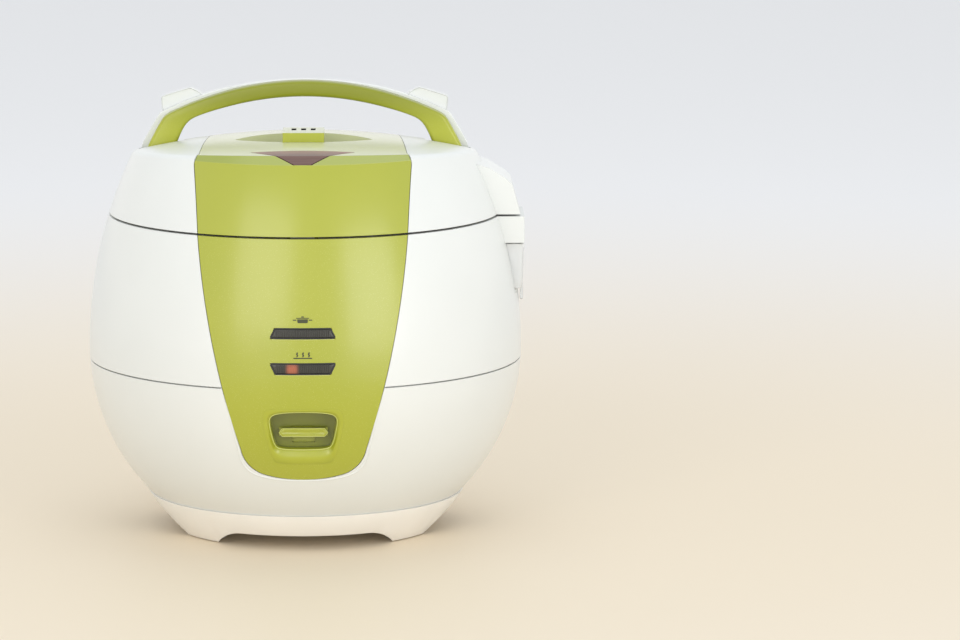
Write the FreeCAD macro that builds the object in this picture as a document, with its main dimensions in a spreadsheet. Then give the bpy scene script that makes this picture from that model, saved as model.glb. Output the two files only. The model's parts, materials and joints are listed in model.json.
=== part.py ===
import FreeCAD, Part
import math
import os
import Sketcher

# Jar rice cooker with a hinged lid. Millimetres, +Z up, the front faces -Y, +X is the user's right.
# Every shape is drawn about the axis of the inner pot. The sheet's axisShift then moves each
# finished piece so that the origin is under the middle of the whole cooker.

doc = FreeCAD.newDocument("RiceCooker")
sheet = doc.addObject("Spreadsheet::Sheet", "Sizes")
vector = FreeCAD.Vector

drivingSizes = {
    # round housing: two arcs that meet at the widest height
    "bodyRadius": 130, "bulgeHeight": 110, "upperArc": 267, "lowerArc": 125,
    "wall": 2.4, "gap": 0.3, "axisShift": -13.7,
    # heights of the parting lines
    "ringTop": 22, "lowSeam": 103.2, "seamGap": 0.8, "housingTop": 190.2, "lidBottom": 191.4,
    # lid: a shallow ball over the round side, with its crown a little forward
    "lidCrest": 240.2, "domeRadius": 460, "domeForward": 30, "shoulderRound": 5,
    "ridgeHeight": 231, "facetSlope": 0.67,
    # green panel
    "panelHalfTop": 61, "panelHalfLow": 36.4, "panelLow": 66.5, "panelTip": 47.9,
    # handle
    "pivotBack": 12, "pivotHeight": 226, "handleDepth": 10, "gripArc": 169, "gripCrown": 269.7,
    "innerArc": 163, "innerCrown": 260.1, "pinRadius": 2.5,
    "trayFloor": 215, "trayFront": 24, "trayBack": 60, "trayRadius": 100.5, "trayHalf": 99.6,
    "legSlotInner": 72.4, "legSlotFront": 1,
    # vent
    "ventForward": 45, "recessFloor": 234, "recessHalf": 41, "recessDepth": 20.5,
    # pot and heater
    "potRadius": 98, "potWall": 2, "potBottom": 70, "potTop": 189.9,
    "casingRadius": 100, "casingFloor": 51.2, "plateRadius": 80, "plateBottom": 58,
    "heaterRing": 58, "heaterRod": 3.6,
    # cook lever
    "leverPivotForward": 62, "leverPivotHeight": 44.5, "leverPinRadius": 1.5,
    # hinge
    "hingeBack": 142, "hingeHeight": 183, "hingePin": 3, "barrelRadius": 13.5, "barrelHalf": 29.5,
    "coverHalf": 55, "coverBack": 158, "coverLow": 114,
    # pod and dew cup on the right side
    "podOuter": 131.3, "podFront": 24.5, "podBack": 18.5, "podLow": 174.2, "cupBottom": 146,
    "chassisTop": 25.8, "footPitch": 72.5,
}


class Size:
    # A length with its value and the sheet expression that gives it. Sums and products of
    # sizes keep both, so a sketch or primitive stays bound to the sheet.
    def __init__(self, value, text):
        self.value = value
        self.text = text

    def join(self, other, sign, flip=False):
        other = asSize(other)
        left, right = (other, self) if flip else (self, other)
        results = {"+": left.value + right.value, "-": left.value - right.value,
                   "*": left.value * right.value}
        if sign == "/":
            results["/"] = left.value / right.value
        return Size(results[sign], f"({left.text} {sign} {right.text})")

    def __add__(self, other):
        return self.join(other, "+")

    def __radd__(self, other):
        return self.join(other, "+", True)

    def __sub__(self, other):
        return self.join(other, "-")

    def __rsub__(self, other):
        return self.join(other, "-", True)

    def __mul__(self, other):
        return self.join(other, "*")

    def __rmul__(self, other):
        return self.join(other, "*", True)

    def __truediv__(self, other):
        return self.join(other, "/")

    def __neg__(self):
        return self.join(-1, "*")


def asSize(item):
    return item if isinstance(item, Size) else Size(float(item), f"({float(item)})")


def root(size):
    return Size(math.sqrt(size.value), f"sqrt{size.text}")


def fillSheet():
    sizes = {}
    for row, (name, value) in enumerate(drivingSizes.items(), start=1):
        sheet.set(f"A{row}", name)
        sheet.set(f"B{row}", str(value))
        sheet.setAlias(f"B{row}", name)
        sizes[name] = Size(float(value), f"Sizes.{name}")
    doc.recompute()
    return sizes


dim = fillSheet()
wall = dim["wall"]
gap = dim["gap"]
bulge = dim["bulgeHeight"]


# ---------------------------------------------------------------- helpers

def bind(item, path, size):
    item.setExpression(path, asSize(size).text)


def place(item, spot, turn=None):
    if turn:
        item.Placement = FreeCAD.Placement(vector(), FreeCAD.Rotation(vector(*turn[0]), turn[1]))
    for letter, size in zip("xyz", spot):
        bind(item, f"Placement.Base.{letter}", size)
    return item


def box(name, x, y, z):
    # x, y and z are (low, high) pairs
    item = doc.addObject("Part::Box", name)
    for path, (low, high) in zip(("Length", "Width", "Height"), (x, y, z)):
        bind(item, path, asSize(high) - low)
    return place(item, (x[0], y[0], z[0]))


def rod(name, radius, spot, length, along="z"):
    turns = {"x": ((0, 1, 0), 90), "y": ((1, 0, 0), -90), "z": None}
    item = doc.addObject("Part::Cylinder", name)
    bind(item, "Radius", radius)
    bind(item, "Height", length)
    return place(item, spot, turns[along])


def ball(name, radius, spot):
    item = doc.addObject("Part::Sphere", name)
    bind(item, "Radius", radius)
    return place(item, spot)


def fuse(name, *items):
    item = doc.addObject("Part::MultiFuse", name)
    item.Shapes = list(items)
    return item


def common(name, *items):
    item = doc.addObject("Part::MultiCommon", name)
    item.Shapes = list(items)
    return item


def cut(name, base, *tools):
    item = doc.addObject("Part::Cut", name)
    item.Base = base
    item.Tool = tools[0] if len(tools) == 1 else fuse(name + "Tools", *tools)
    return item


def tube(name, outer, inner, spot, length, along="z"):
    return cut(name, rod(name + "Outer", outer, spot, length, along),
               rod(name + "Bore", inner, spot, length, along))


def arcCentre(start, end, radius):
    # the centre lies left of the way from start to end for a positive radius
    middle = (start + end) * 0.5
    chord = end - start
    left = vector(-chord.y, chord.x, 0).normalize()
    rise = math.sqrt(radius * radius - chord.Length * chord.Length / 4)
    return middle + left * math.copysign(rise, radius)


def drawOutline(sketch, points):
    # each point is (x, y) or (x, y, radius): the side that leaves it is then an arc,
    # turning left for a positive radius
    spots = [vector(asSize(p[0]).value, asSize(p[1]).value, 0) for p in points]
    count = len(points)
    starts = []
    for i, point in enumerate(points):
        here, there = spots[i], spots[(i + 1) % count]
        if len(point) == 2:
            sketch.addGeometry(Part.LineSegment(here, there), False)
            starts.append(1)
            continue
        radius = asSize(point[2]).value
        centre = arcCentre(here, there, radius)
        circle = Part.Circle(centre, vector(0, 0, 1), abs(radius))
        ends = (here, there) if radius > 0 else (there, here)
        angles = [math.atan2(p.y - centre.y, p.x - centre.x) for p in ends]
        sketch.addGeometry(Part.ArcOfCircle(circle, angles[0], angles[1]), False)
        starts.append(1 if radius > 0 else 2)
    for i in range(count):
        after = (i + 1) % count
        sketch.addConstraint(Sketcher.Constraint("Coincident", i, 3 - starts[i], after, starts[after]))
    for i, point in enumerate(points):
        limits = [("DistanceX", asSize(point[0])), ("DistanceY", asSize(point[1]))]
        for kind, size in limits:
            if abs(size.value) < 1e-9:
                axis = -2 if kind == "DistanceX" else -1
                sketch.addConstraint(Sketcher.Constraint("PointOnObject", i, starts[i], axis))
                continue
            number = sketch.addConstraint(Sketcher.Constraint(kind, i, starts[i], size.value))
            bind(sketch, f"Constraints[{number}]", size)
        if len(point) == 3:
            size = asSize(point[2])
            size = size if size.value > 0 else -size
            number = sketch.addConstraint(Sketcher.Constraint("Radius", i, size.value))
            bind(sketch, f"Constraints[{number}]", size)


def sketchBody(name, plane, points, offset=0):
    body = doc.addObject("PartDesign::Body", name)
    sketch = body.newObject("Sketcher::SketchObject", name + "Sketch")
    origin = [item for item in body.Origin.OriginFeatures if item.Role == plane][0]
    sketch.AttachmentSupport = [(origin, "")]
    sketch.MapMode = "FlatFace"
    bind(sketch, "AttachmentOffset.Base.z", offset)
    drawOutline(sketch, points)
    return body, sketch


def turned(name, points):
    # points are (radius, height) pairs turned about the pot's axis
    body, sketch = sketchBody(name, "XZ_Plane", points)
    feature = body.newObject("PartDesign::Revolution", name + "Turn")
    feature.Profile = sketch
    feature.ReferenceAxis = (sketch, ["V_Axis"])
    feature.Angle = 360
    return body


def prism(name, plane, points, start, length):
    # XZ_Plane grows towards -Y, YZ_Plane towards +X and XY_Plane towards +Z
    body, sketch = sketchBody(name, plane, points, start)
    feature = body.newObject("PartDesign::Pad", name + "Pad")
    feature.Profile = sketch
    bind(feature, "Length", length)
    return body


def mirrored(points):
    # closes a half outline, given from the bottom up on the +X side, with its mirror image.
    # A radius belongs to the side that leaves its point, so it moves one point back.
    other = []
    for i in range(len(points) - 1, -1, -1):
        x, y = points[i][0], points[i][1]
        if asSize(x).value == 0:
            continue
        side = points[i - 1][2:] if i > 0 else ()
        other.append((-asSize(x), y) + side)
    return list(points) + other


def coil(name, mean, wire, height, pitch, spot, turn=None):
    helix = doc.addObject("Part::Helix", name + "Path")
    bind(helix, "Pitch", pitch)
    bind(helix, "Height", height)
    bind(helix, "Radius", mean)
    section = doc.addObject("Part::Circle", name + "Section")
    bind(section, "Radius", wire)
    section.Placement = FreeCAD.Placement(vector(), FreeCAD.Rotation(vector(1, 0, 0), 90))
    bind(section, "Placement.Base.x", mean)
    item = doc.addObject("Part::Sweep", name)
    item.Sections = [section]
    item.Spine = (helix, ["Edge1"])
    item.Solid = True
    item.Frenet = True
    return place(item, spot, turn)


def around(radius, degrees):
    angle = math.radians(degrees)
    return asSize(radius) * math.cos(angle), asSize(radius) * math.sin(angle)


nodes = []


def node(item, name):
    # names a finished piece and moves it from the pot's axis to the cooker's own origin
    item.Label = name
    path = "Placement.Base.y"
    bound = dict((key.lstrip("."), text) for key, text in item.ExpressionEngine)
    start = bound.get(path, "0")
    item.setExpression(path, f"{start} + Sizes.axisShift")
    nodes.append(item)
    return item


# ---------------------------------------------------------------- the housing's round skin

def upperRadius(height, inset=0):
    arc = dim["upperArc"] - inset
    rise = asSize(height) - bulge
    return dim["bodyRadius"] - dim["upperArc"] + root(arc * arc - rise * rise)


def lowerRadius(height, inset=0):
    arc = dim["lowerArc"] - inset
    rise = asSize(height) - bulge
    return dim["bodyRadius"] - dim["lowerArc"] + root(arc * arc - rise * rise)


def fullSkin(name, low, high, inset):
    # a closed solid of the whole round side between two heights
    widest = dim["bodyRadius"] - inset
    return turned(name, [(0, low), (lowerRadius(low, inset), low, dim["lowerArc"] - inset),
                         (widest, bulge, dim["upperArc"] - inset),
                         (upperRadius(high, inset), high), (0, high)])


housingTop = dim["housingTop"]
lidBottom = dim["lidBottom"]
lowSeam = dim["lowSeam"]
podY = (-dim["podFront"], dim["podBack"])
footSpots = [around(dim["footPitch"], angle) for angle in (40, 140, 220, 320)]
coverScrewSpots = [around(76, angle) for angle in (5, 95, 185, 275)]
wholeSkin = fullSkin("WholeSkin", 40, housingTop, 0)


def panelFace(name, grow, top):
    # the green panel's outline seen from the front, as a long prism through the front wall
    side = dim["panelHalfTop"] + grow
    half = [(0, dim["panelTip"] - grow, 85), (22 + grow, 50.8 - grow, 20),
            (dim["panelHalfLow"] + grow, dim["panelLow"], 552), (side, housingTop - 0.1),
            (side, top)]
    return prism(name, "XZ_Plane", mirrored(half), 60, 100)


def makeBase():
    ringTop = dim["ringTop"]
    skirt = turned("BaseSkirt", [(80.8, 0.6), (95, ringTop), (66, ringTop), (66, ringTop - 2.4),
                                 (90.2, ringTop - 2.4), (87.6, 14.6), (72, 14.6), (72, 11.7),
                                 (84.5, 11.7), (77.8, 0.6)])
    archFront = prism("ArchFront", "XZ_Plane", mirrored([(52, 0, 15.7), (38, 8.6)]), -110, 220)
    archSide = prism("ArchSide", "YZ_Plane", [(-40.4, 0), (40.4, 0, 52.5)], -110, 220)
    feet = [rod(f"Foot{i}", 8, (x, y, 0.6), 11.2) for i, (x, y) in enumerate(footSpots)]
    pads = [rod(f"PadHole{i}", 5.7, (x, y, 0), 2.6) for i, (x, y) in enumerate(footSpots)]
    screws = [rod(f"LedgeHole{i}", 1.7, (x, y, 8), 12) for i, (x, y) in enumerate(coverScrewSpots)]
    ring = cut("RingArched", skirt, archFront, archSide)
    node(cut("BaseRing", fuse("RingFeet", ring, *feet), *pads, *screws), "base_ring")
    soft = [rod(f"Pad{i}", 5.4, (x, y, 0), 2.6) for i, (x, y) in enumerate(footSpots)]
    node(fuse("FootPads", *soft), "foot_pads")


def makeBottomCover():
    feet = [rod(f"CoverFoot{i}", 8.4, (x, y, 9), 5) for i, (x, y) in enumerate(footSpots)]
    holes = [rod(f"CoverHole{i}", 1.7, (x, y, 9), 4) for i, (x, y) in enumerate(coverScrewSpots)]
    slots = [box(f"CoverSlot{i}", (-24, 24), (i * 9 - 29, i * 9 - 26), (9, 13)) for i in range(7)]
    plate = rod("CoverPlate", 80, (0, 0, 9.6), 2)
    node(cut("BottomCover", plate, *feet, *holes, *slots), "bottom_cover")
    heads = [rod(f"ScrewHead{i}", 3, (x, y, 7.9), 1.6) for i, (x, y) in enumerate(coverScrewSpots)]
    shanks = [rod(f"ScrewShank{i}", 1.5, (x, y, 9.4), 9.4) for i, (x, y) in enumerate(coverScrewSpots)]
    node(fuse("BaseScrews", *heads, *shanks), "base_screws")


def makeLowerHousing():
    floor = dim["ringTop"]
    inset = wall
    tongue = 0.5  # the upper housing sits over this much of the rim
    shell = turned("LowerShell", [
        (78, floor + 0.1), (lowerRadius(floor + 0.1), floor + 0.1, dim["lowerArc"]),
        (lowerRadius(lowSeam), lowSeam), (lowerRadius(lowSeam, inset + tongue), lowSeam),
        (lowerRadius(lowSeam, inset + tongue), lowSeam + 4), (124.9, lowSeam + 4), (124.9, 98),
        (lowerRadius(96, inset), 96, -(dim["lowerArc"] - inset)),
        (lowerRadius(floor + wall, inset), floor + wall), (78, floor + wall)])
    inlet = box("InletWindow", (-17.3, 17.3), (80, 130), (49.7, 74.3))
    node(cut("LowerHousing", shell, panelFace("PanelHoleLow", gap, housingTop), inlet), "lower_housing")


def makeUpperHousing():
    low = lowSeam + dim["seamGap"]
    shell = turned("UpperShell", [
        (upperRadius(low), low, dim["upperArc"]), (upperRadius(housingTop), housingTop),
        (upperRadius(housingTop, wall), housingTop, -(dim["upperArc"] - wall)),
        (upperRadius(low, wall), low)])
    podTop = housingTop
    pod = box("Pod", (110, dim["podOuter"]), podY, (dim["podLow"], podTop))
    podRoom = box("PodRoom", (116.6, dim["podOuter"] - 2.7), (podY[0] + wall, podY[1] - wall),
                  (160, podTop - wall))
    inside = fullSkin("PodInside", 100, 200, wall)
    window = box("CupWindow", (100, 140), podY, (143.7, dim["podLow"]))
    walls = cut("PodWalls", pod, inside)
    body = cut("UpperCut", fuse("UpperWithPod", shell, walls), podRoom, window,
               panelFace("PanelHoleHigh", gap, 200))
    node(body, "upper_housing")
    pocket = common("PocketBlock", box("PocketOuter", (105, 140), (podY[0] + gap, podY[1] - gap),
                                       (144, dim["podLow"] - gap)), wholeSkin)
    room = box("PocketRoom", (106.5, 140), (podY[0] + 1.8, podY[1] - 1.8), (145.5, 180))
    node(cut("DewPocket", pocket, room), "dew_pocket")
    chute = prism("ChuteBlock", "XZ_Plane", [(115.1, 179), (125, 176.5), (125, 180), (115.1, 182.3)],
                  -5, 10)
    groove = prism("ChuteGroove", "XZ_Plane", [(115, 180.3), (126, 177.7), (126, 183), (115, 183)],
                   -3.8, 7.6)
    node(cut("DrainChute", chute, groove), "drain_chute")


def makeDewCup():
    bottom = dim["cupBottom"]
    front = podY[0] + 2.3
    back = podY[1] - 2.3
    outer = prism("CupOuter", "XZ_Plane", [(107.1, bottom), (130.4, bottom), (131.6, 173.4),
                                           (107.1, 173.4)], -back, back - front)
    inner = prism("CupInner", "XZ_Plane", [(108.7, bottom + 1.8), (128.8, bottom + 1.8),
                                           (130, 175), (108.7, 175)], -(back - 1.6),
                  back - front - 3.2)
    tab = box("CupTab", (129.2, 131), (-8, 2), (137.4, bottom + 1.5))
    node(cut("DewCup", fuse("CupBody", outer, tab), inner), "dew_cup")


def leverOutline(grow):
    return mirrored([(14 + grow, 58.7 - grow), (17.6 + grow, 61.5), (22.6 + grow, 80),
                     (22.6 + grow, 88.5), (19.5 + grow, 91.6 + grow)])


def lensOutline(low, high, lowHalf, highHalf, grow):
    return mirrored([(lowHalf + grow, low - grow), (highHalf + grow, high + grow)])


lensShapes = {"cook": (133.7, 139.6, 18.8, 16.4), "warm": (112.9, 119.3, 16.2, 18.8)}


def makeFrontPanel():
    low = 45
    band = cut("PanelBand", fullSkin("PanelSkin", low, housingTop, 0),
               fullSkin("PanelBack", low - 1, housingTop + 1, wall))
    face = common("PanelFacePiece", band, panelFace("PanelOutline", 0, housingTop))
    holes = [prism(f"{name}Hole", "XZ_Plane", lensOutline(*shape, 0.2), 90, 60)
             for name, shape in lensShapes.items()]
    well = prism("WellHole", "XZ_Plane", leverOutline(0.2), 90, 60)
    node(cut("FrontPanel", face, well, *holes), "front_panel")
    rim = fullSkin("LensSkin", 100, 150, -0.2)
    for name, shape in lensShapes.items():
        glass = prism(f"{name}Glass", "XZ_Plane", lensOutline(*shape, 0), 124.6, 20)
        node(common(f"{name}Lens", glass, rim), f"{name}_lens")


def makeLeverWell():
    block = common("WellBlock", prism("WellOuter", "XZ_Plane", leverOutline(0), 111.3, 40), wholeSkin)
    upper = box("WellUpper", (-19.2, 19.2), (-150, -113), (66.8, 89.9))
    ramp = prism("WellRamp", "YZ_Plane", [(-113, 66.9), (-150, 66.9), (-150, 60.2), (-121, 60.2)],
                 -15, 30)
    slot = box("KeySlot", (-7, 7), (-120, -105), (69.8, 79.6))
    node(cut("LeverWell", block, upper, ramp, slot), "lever_well")
    key = box("KeyBar", (-14.2, 14.2), (-118, -114), (74.2, 79.1))
    stem = box("KeyStem", (-6, 6), (-114.5, -101.5), (74.9, 78.2))
    post = box("KeyPost", (-4, 4), (-105.8, -101.5), (46.4, 78.2))
    node(fuse("CookKey", key, stem, post), "cook_key")


def makeLamps():
    body = box("LampBody", (-24, 24), (-122.5, -108), (108.5, 144.5))
    cells = [box(f"{name}Cell", (-22, 22), (-130, -110), (shape[0] - 2, shape[1] + 2))
             for name, shape in lensShapes.items()]
    node(cut("LampHousing", body, *cells), "lamp_housing")
    node(box("LampBoard", (-22, 22), (-107.9, -106.3), (110, 143)), "lamp_board")
    lamps = [rod(f"{name}Lamp", 2.2, (-5, -119, (shape[0] + shape[1]) / 2), 9, "y")
             for name, shape in lensShapes.items()]
    node(fuse("IndicatorLamps", *lamps), "indicator_lamps")


def makeRim():
    outer = upperRadius(housingTop, wall) - gap
    ring = turned("RimRing", [(99, 184), (102, 184), (102, 182.5), (112.4, 182.5), (112.4, 176),
                              (outer, 176), (outer, 190), (110.5, 190), (109.5, 185.5),
                              (105, 185.5), (104, 188.5), (99, 188.5)])
    slot = box("HookSlot", (-9, 9), (-112.3, -101), (184, 195))
    drain = box("DrainHole", (106, 118), (-3, 3), (182.2, 187))
    node(cut("RimRingCut", ring, slot, drain), "rim_ring")
    node(box("LatchCatch", (-8.5, 8.5), (-112.2, -111.2), (184.1, 189.6)), "latch_catch")


def makeCasing():
    radius = dim["casingRadius"]
    floor = dim["casingFloor"]
    shell = turned("CasingShell", [(45, floor), (radius + 0.8, floor), (radius + 0.8, 181.4),
                                   (104, 181.4), (104, 182.2), (radius, 182.2),
                                   (radius, floor + 0.8), (45, floor + 0.8)])
    holes = [rod(f"TerminalHole{i}", 4, (x, 54.5, floor - 2), 6) for i, x in enumerate((-19.8, 19.8))]
    node(cut("InnerCasing", shell, *holes), "inner_casing")
    posts = [rod(f"Post{i}", 4, (*around(80, angle), dim["chassisTop"]), floor - dim["chassisTop"])
             for i, angle in enumerate((90, 210, 330))]
    node(fuse("CasingPosts", *posts), "casing_posts")
    node(rod("ChassisPlate", 86, (0, 0, 24.6), 1.2), "chassis_plate")
    band = tube("BandHeater", 102.6, 101.1, (0, 0, 120), 30)
    node(cut("SideHeater", band, box("BandGap", (-3, 3), (90, 110), (119, 151))), "side_heater")


def makePot():
    radius = dim["potRadius"]
    inner = radius - dim["potWall"]
    bottom = dim["potBottom"]
    top = dim["potTop"]
    corner = 18
    node(turned("InnerPot", [
        (0, bottom), (radius - corner, bottom, corner), (radius, bottom + corner),
        (radius, top - 1.3), (103.6, top - 1.3), (103.6, top), (inner, top),
        (inner, bottom + corner, -(corner - 2)), (radius - corner, bottom + 2), (0, bottom + 2)]),
        "inner_pot")


def makeHeater():
    low = dim["plateBottom"]
    top = dim["potBottom"] - 0.1
    ring = dim["heaterRing"]
    plate = rod("PlateDisc", dim["plateRadius"], (0, 0, low), top - low)
    bore = rod("PlateBore", 17.5, (0, 0, low - 1), 20)
    groove = doc.addObject("Part::Torus", "PlateGroove")
    bind(groove, "Radius1", ring)
    bind(groove, "Radius2", dim["heaterRod"] + 0.1)
    place(groove, (0, 0, low - 0.5))
    node(cut("HeatingPlate", plate, bore, groove), "heating_plate")
    element = doc.addObject("Part::Torus", "HeaterElement")
    bind(element, "Radius1", ring)
    bind(element, "Radius2", dim["heaterRod"])
    place(element, (0, 0, low - 0.5))
    ends = [rod(f"HeaterEnd{i}", 2.4, (x, 54.5, 47), 9) for i, x in enumerate((-19.8, 19.8))]
    node(fuse("HeaterTube", element, *ends), "heater_tube")
    legs = [rod(f"PlateLeg{i}", 4, (*around(72, angle), dim["casingFloor"] + 0.8), low - 52)
            for i, angle in enumerate((30, 150, 270))]
    node(fuse("PlateLegs", *legs), "plate_legs")
    node(rod("ThermalFuse", 2.4, (-10, 38, 55.4), 20, "x"), "thermal_fuse")


def makeSensor():
    cup = turned("SensorCup", [(11, 60), (15.8, 60), (15.8, 69.9), (0, 69.9), (0, 69),
                               (14.6, 69), (14.6, 60.9), (11, 60.9)])
    node(cup, "sensor_cup")
    node(rod("SensorFerrite", 12, (0, 0, 66.2), 2.8), "sensor_ferrite")
    node(coil("SensorSpring", 13.4, 0.7, 4.6, 1.9, (0, 0, 53.9)), "sensor_spring")
    strip = box("BracketStrip", (-52, 52), (-14, 14), (52.1, 53.1))
    node(cut("SensorBracket", strip, rod("BracketHole", 11, (0, 0, 50), 6)), "sensor_bracket")
    magnet = rod("MagnetDisc", 10, (0, 0, 52.6), 6.9)
    stem = rod("MagnetStem", 2, (0, 0, 46.4), 7)
    node(fuse("SensorMagnet", magnet, stem), "sensor_magnet")


def makeLever():
    forward = dim["leverPivotForward"]
    height = dim["leverPivotHeight"]
    pin = dim["leverPinRadius"]
    arm = box("LeverArm", (-4, 4), (-103.8, 1), (43, 46))
    boss = rod("LeverBoss", 4.5, (-6, -forward, height), 12, "x")
    bore = rod("LeverBore", pin + 0.06, (-8, -forward, height), 16, "x")
    node(cut("SwitchLever", fuse("LeverBody", arm, boss), bore), "switch_lever")
    cheeks = [box(f"Cheek{i}", (x, x + 1.2), (-forward - 5, -forward + 5), (dim["chassisTop"], 50))
              for i, x in enumerate((-7.8, 6.6))]
    foot = box("BracketFoot", (-7.8, 7.8), (-forward - 5, -forward + 5),
               (dim["chassisTop"], dim["chassisTop"] + 1.2))
    hole = rod("CheekHole", pin + 0.02, (-9, -forward, height), 18, "x")
    node(cut("LeverBracket", fuse("LeverBracketBody", foot, *cheeks), hole), "lever_bracket")
    node(rod("LeverPin", pin, (-9, -forward, height), 18, "x"), "lever_pin")
    case = box("SwitchCase", (-5, 5), (-92.5, -76), (dim["chassisTop"], 38))
    plunger = rod("SwitchPlunger", 1.6, (0, -85, 37), 3.2)
    tag = box("SwitchTag", (4, 13.5), (-80, -77), (28.5, 31.5))
    node(fuse("MicroSwitch", case, plunger, tag), "micro_switch")


def leadPath(points, radius):
    # a wire along one plane of constant X: straight, a quarter bend, straight
    x, start, corner, end = points
    down = vector(x, start[0], start[1])
    bendIn = vector(x, corner[0], corner[1] + radius)
    bendOut = vector(x, corner[0] - radius, corner[1])
    slope = radius * (1 - math.cos(math.pi / 4))
    middle = vector(x, corner[0] - slope, corner[1] + slope)
    edges = [Part.LineSegment(down, bendIn).toShape(), Part.Arc(bendIn, middle, bendOut).toShape(),
             Part.LineSegment(bendOut, vector(x, end[0], end[1])).toShape()]
    section = Part.Wire(Part.Circle(down, vector(0, 0, -1), 1.4).toShape())
    return Part.Wire(edges).makePipeShell([section], True, True)


def makeWiring():
    block = box("TerminalBlock", (-26, 26), (47, 62), (dim["chassisTop"], 36))
    node(block, "terminal_block")
    risers = [rod(f"Riser{i}", 1.4, (x, 54.5, 36.1), 10.8) for i, x in enumerate((-19.8, 19.8))]
    switchLead = rod("SwitchLead", 1.4, (12, -76.9, 30), 123.8, "y")
    lead = doc.addObject("Part::Feature", "InletLeads")
    inletEnd = (102, 49.8)
    blockEnd = (62.1, 32)
    lead.Shape = Part.makeCompound([leadPath((x, inletEnd, (102, 32), blockEnd), 12)
                                    for x in (-7, 7)])
    node(fuse("WiringLeads", lead, switchLead, *risers), "wiring_leads")


def makeInlet():
    block = box("InletBlock", (-17, 17), (104, 119), (50, 74))
    socket = box("InletSocket", (-12, 12), (106, 125), (54, 70))
    node(cut("PowerInlet", block, socket), "power_inlet")
    pins = [box(f"Pin{i}", (x - 1, x + 1), (106, 116.5), (57, 63)) for i, x in enumerate((-7, 0, 7))]
    tags = [box(f"InletTag{i}", (x - 2, x + 2), (100.95, 104), (50, 56)) for i, x in enumerate((-7, 7))]
    node(fuse("InletPins", *pins, *tags), "inlet_pins")


def makeRearCover():
    half = dim["coverHalf"]
    back = dim["coverBack"]
    low = dim["coverLow"]
    spotY = dim["hingeBack"]
    spotZ = dim["hingeHeight"]
    radius = dim["barrelRadius"]
    outer = prism("CoverOuter", "YZ_Plane", [(60, low), (back - 14, low, 22), (back, low + 16),
                                             (back, housingTop), (60, housingTop)],
                  -half, 2 * half)
    inner = prism("CoverInner", "YZ_Plane", [(60, low + wall), (back - 14, low + wall, 20),
                                             (back - wall, low + 16), (back - wall, housingTop - wall),
                                             (60, housingTop - wall)], -half + wall,
                  2 * (half - wall))
    skin = fullSkin("CoverSkin", 90, 210, -0.15)
    notchHalf = dim["barrelHalf"] + 0.5
    cradle = rod("CradleOuter", radius + 3.2, (-notchHalf - wall, spotY, spotZ), (notchHalf + wall) * 2,
                 "x")
    ears = [rod(f"Ear{i}", 6, (x, spotY, spotZ), 16, "x") for i, x in enumerate((-46, 30))]
    room = rod("CradleRoom", radius + 0.8, (-notchHalf, spotY, spotZ), notchHalf * 2, "x")
    above = box("CradleTop", (-notchHalf, notchHalf), (spotY - radius - 0.8, back + 5), (spotZ, 200))
    behind = box("CradleBack", (-notchHalf, notchHalf), (spotY, back + 5),
                 (spotZ - radius - 0.8, spotZ + 1))
    bore = rod("EarBore", dim["hingePin"] + 0.05, (-60, spotY, spotZ), 120, "x")
    walls = common("CoverInside", fuse("CradleAndEars", cradle, *ears), outer)
    hollow = cut("CoverHollow", outer, inner)
    pinLimit = cut("BoreLimit", bore, box("BoreOutside", (-60, -47), (120, 160), (170, 195)),
                   box("BoreOutsideB", (47, 60), (120, 160), (170, 195)))
    node(cut("RearCover", fuse("CoverAll", hollow, walls), skin, room, above, behind, pinLimit),
         "rear_cover")
    node(rod("HingePinRod", dim["hingePin"], (-46.5, spotY, spotZ), 93, "x"), "hinge_pin")
    node(coil("HingeSpring", 5.2, 0.8, 11, 2.1, (14, spotY, spotZ), ((0, 1, 0), 90)), "hinge_spring")


# ---------------------------------------------------------------- the lid

domeCentre = (0, -dim["domeForward"], dim["lidCrest"] - dim["domeRadius"])


def lidSolid(name, inset, low):
    side = turned(name + "Side", [(0, low), (upperRadius(low, inset), low, dim["upperArc"] - inset),
                                  (upperRadius(241, inset), 241), (0, 241)])
    return common(name, side, ball(name + "Dome", dim["domeRadius"] - inset, domeCentre))


def panelSolid(name, inset, low):
    # the lid panel's front ends in a crisp ridge with a flat facet above it
    ridge = dim["ridgeHeight"] - inset * 0.4
    ridgeRadius = upperRadius(ridge, inset)
    peak = ridge + dim["facetSlope"] * (ridgeRadius - 40)
    side = turned(name + "Side", [(0, low), (upperRadius(low, inset), low, dim["upperArc"] - inset),
                                  (ridgeRadius, ridge), (40, peak), (0, peak)])
    return common(name, side, ball(name + "Dome", dim["domeRadius"] - inset, domeCentre))


def panelPlan(name, grow, low, high):
    return prism(name, "XY_Plane", [
        (-61 - grow, -135), (61 + grow, -135), (61 + grow, -100), (63.4 + grow, -79.5),
        (60.8 + grow, -71.5), (56 + grow, 21 + grow), (-56 - grow, 21 + grow),
        (-60.8 - grow, -71.5), (-63.4 - grow, -79.5), (-61 - grow, -100)], low, high - low)


def almond(name, grow, low, high):
    # where two upright cylinders cross
    half = dim["recessHalf"] + grow
    depth = dim["recessDepth"] + grow
    radius = (half * half + depth * depth) / (2 * depth)
    middle = -37.5
    discs = [rod(f"{name}Disc{i}", radius, (0, middle + side * (radius - depth), low), high - low)
             for i, side in enumerate((-1, 1))]
    return common(name, *discs)


def buttonPlan(name, grow, low, high):
    return prism(name, "XY_Plane", [(-5 - grow, -100.2 - grow), (5 + grow, -100.2 - grow),
                                    (30 + grow * 3, -81.8 + grow), (-30 - grow * 3, -81.8 + grow)],
                 low, high - low)


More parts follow.
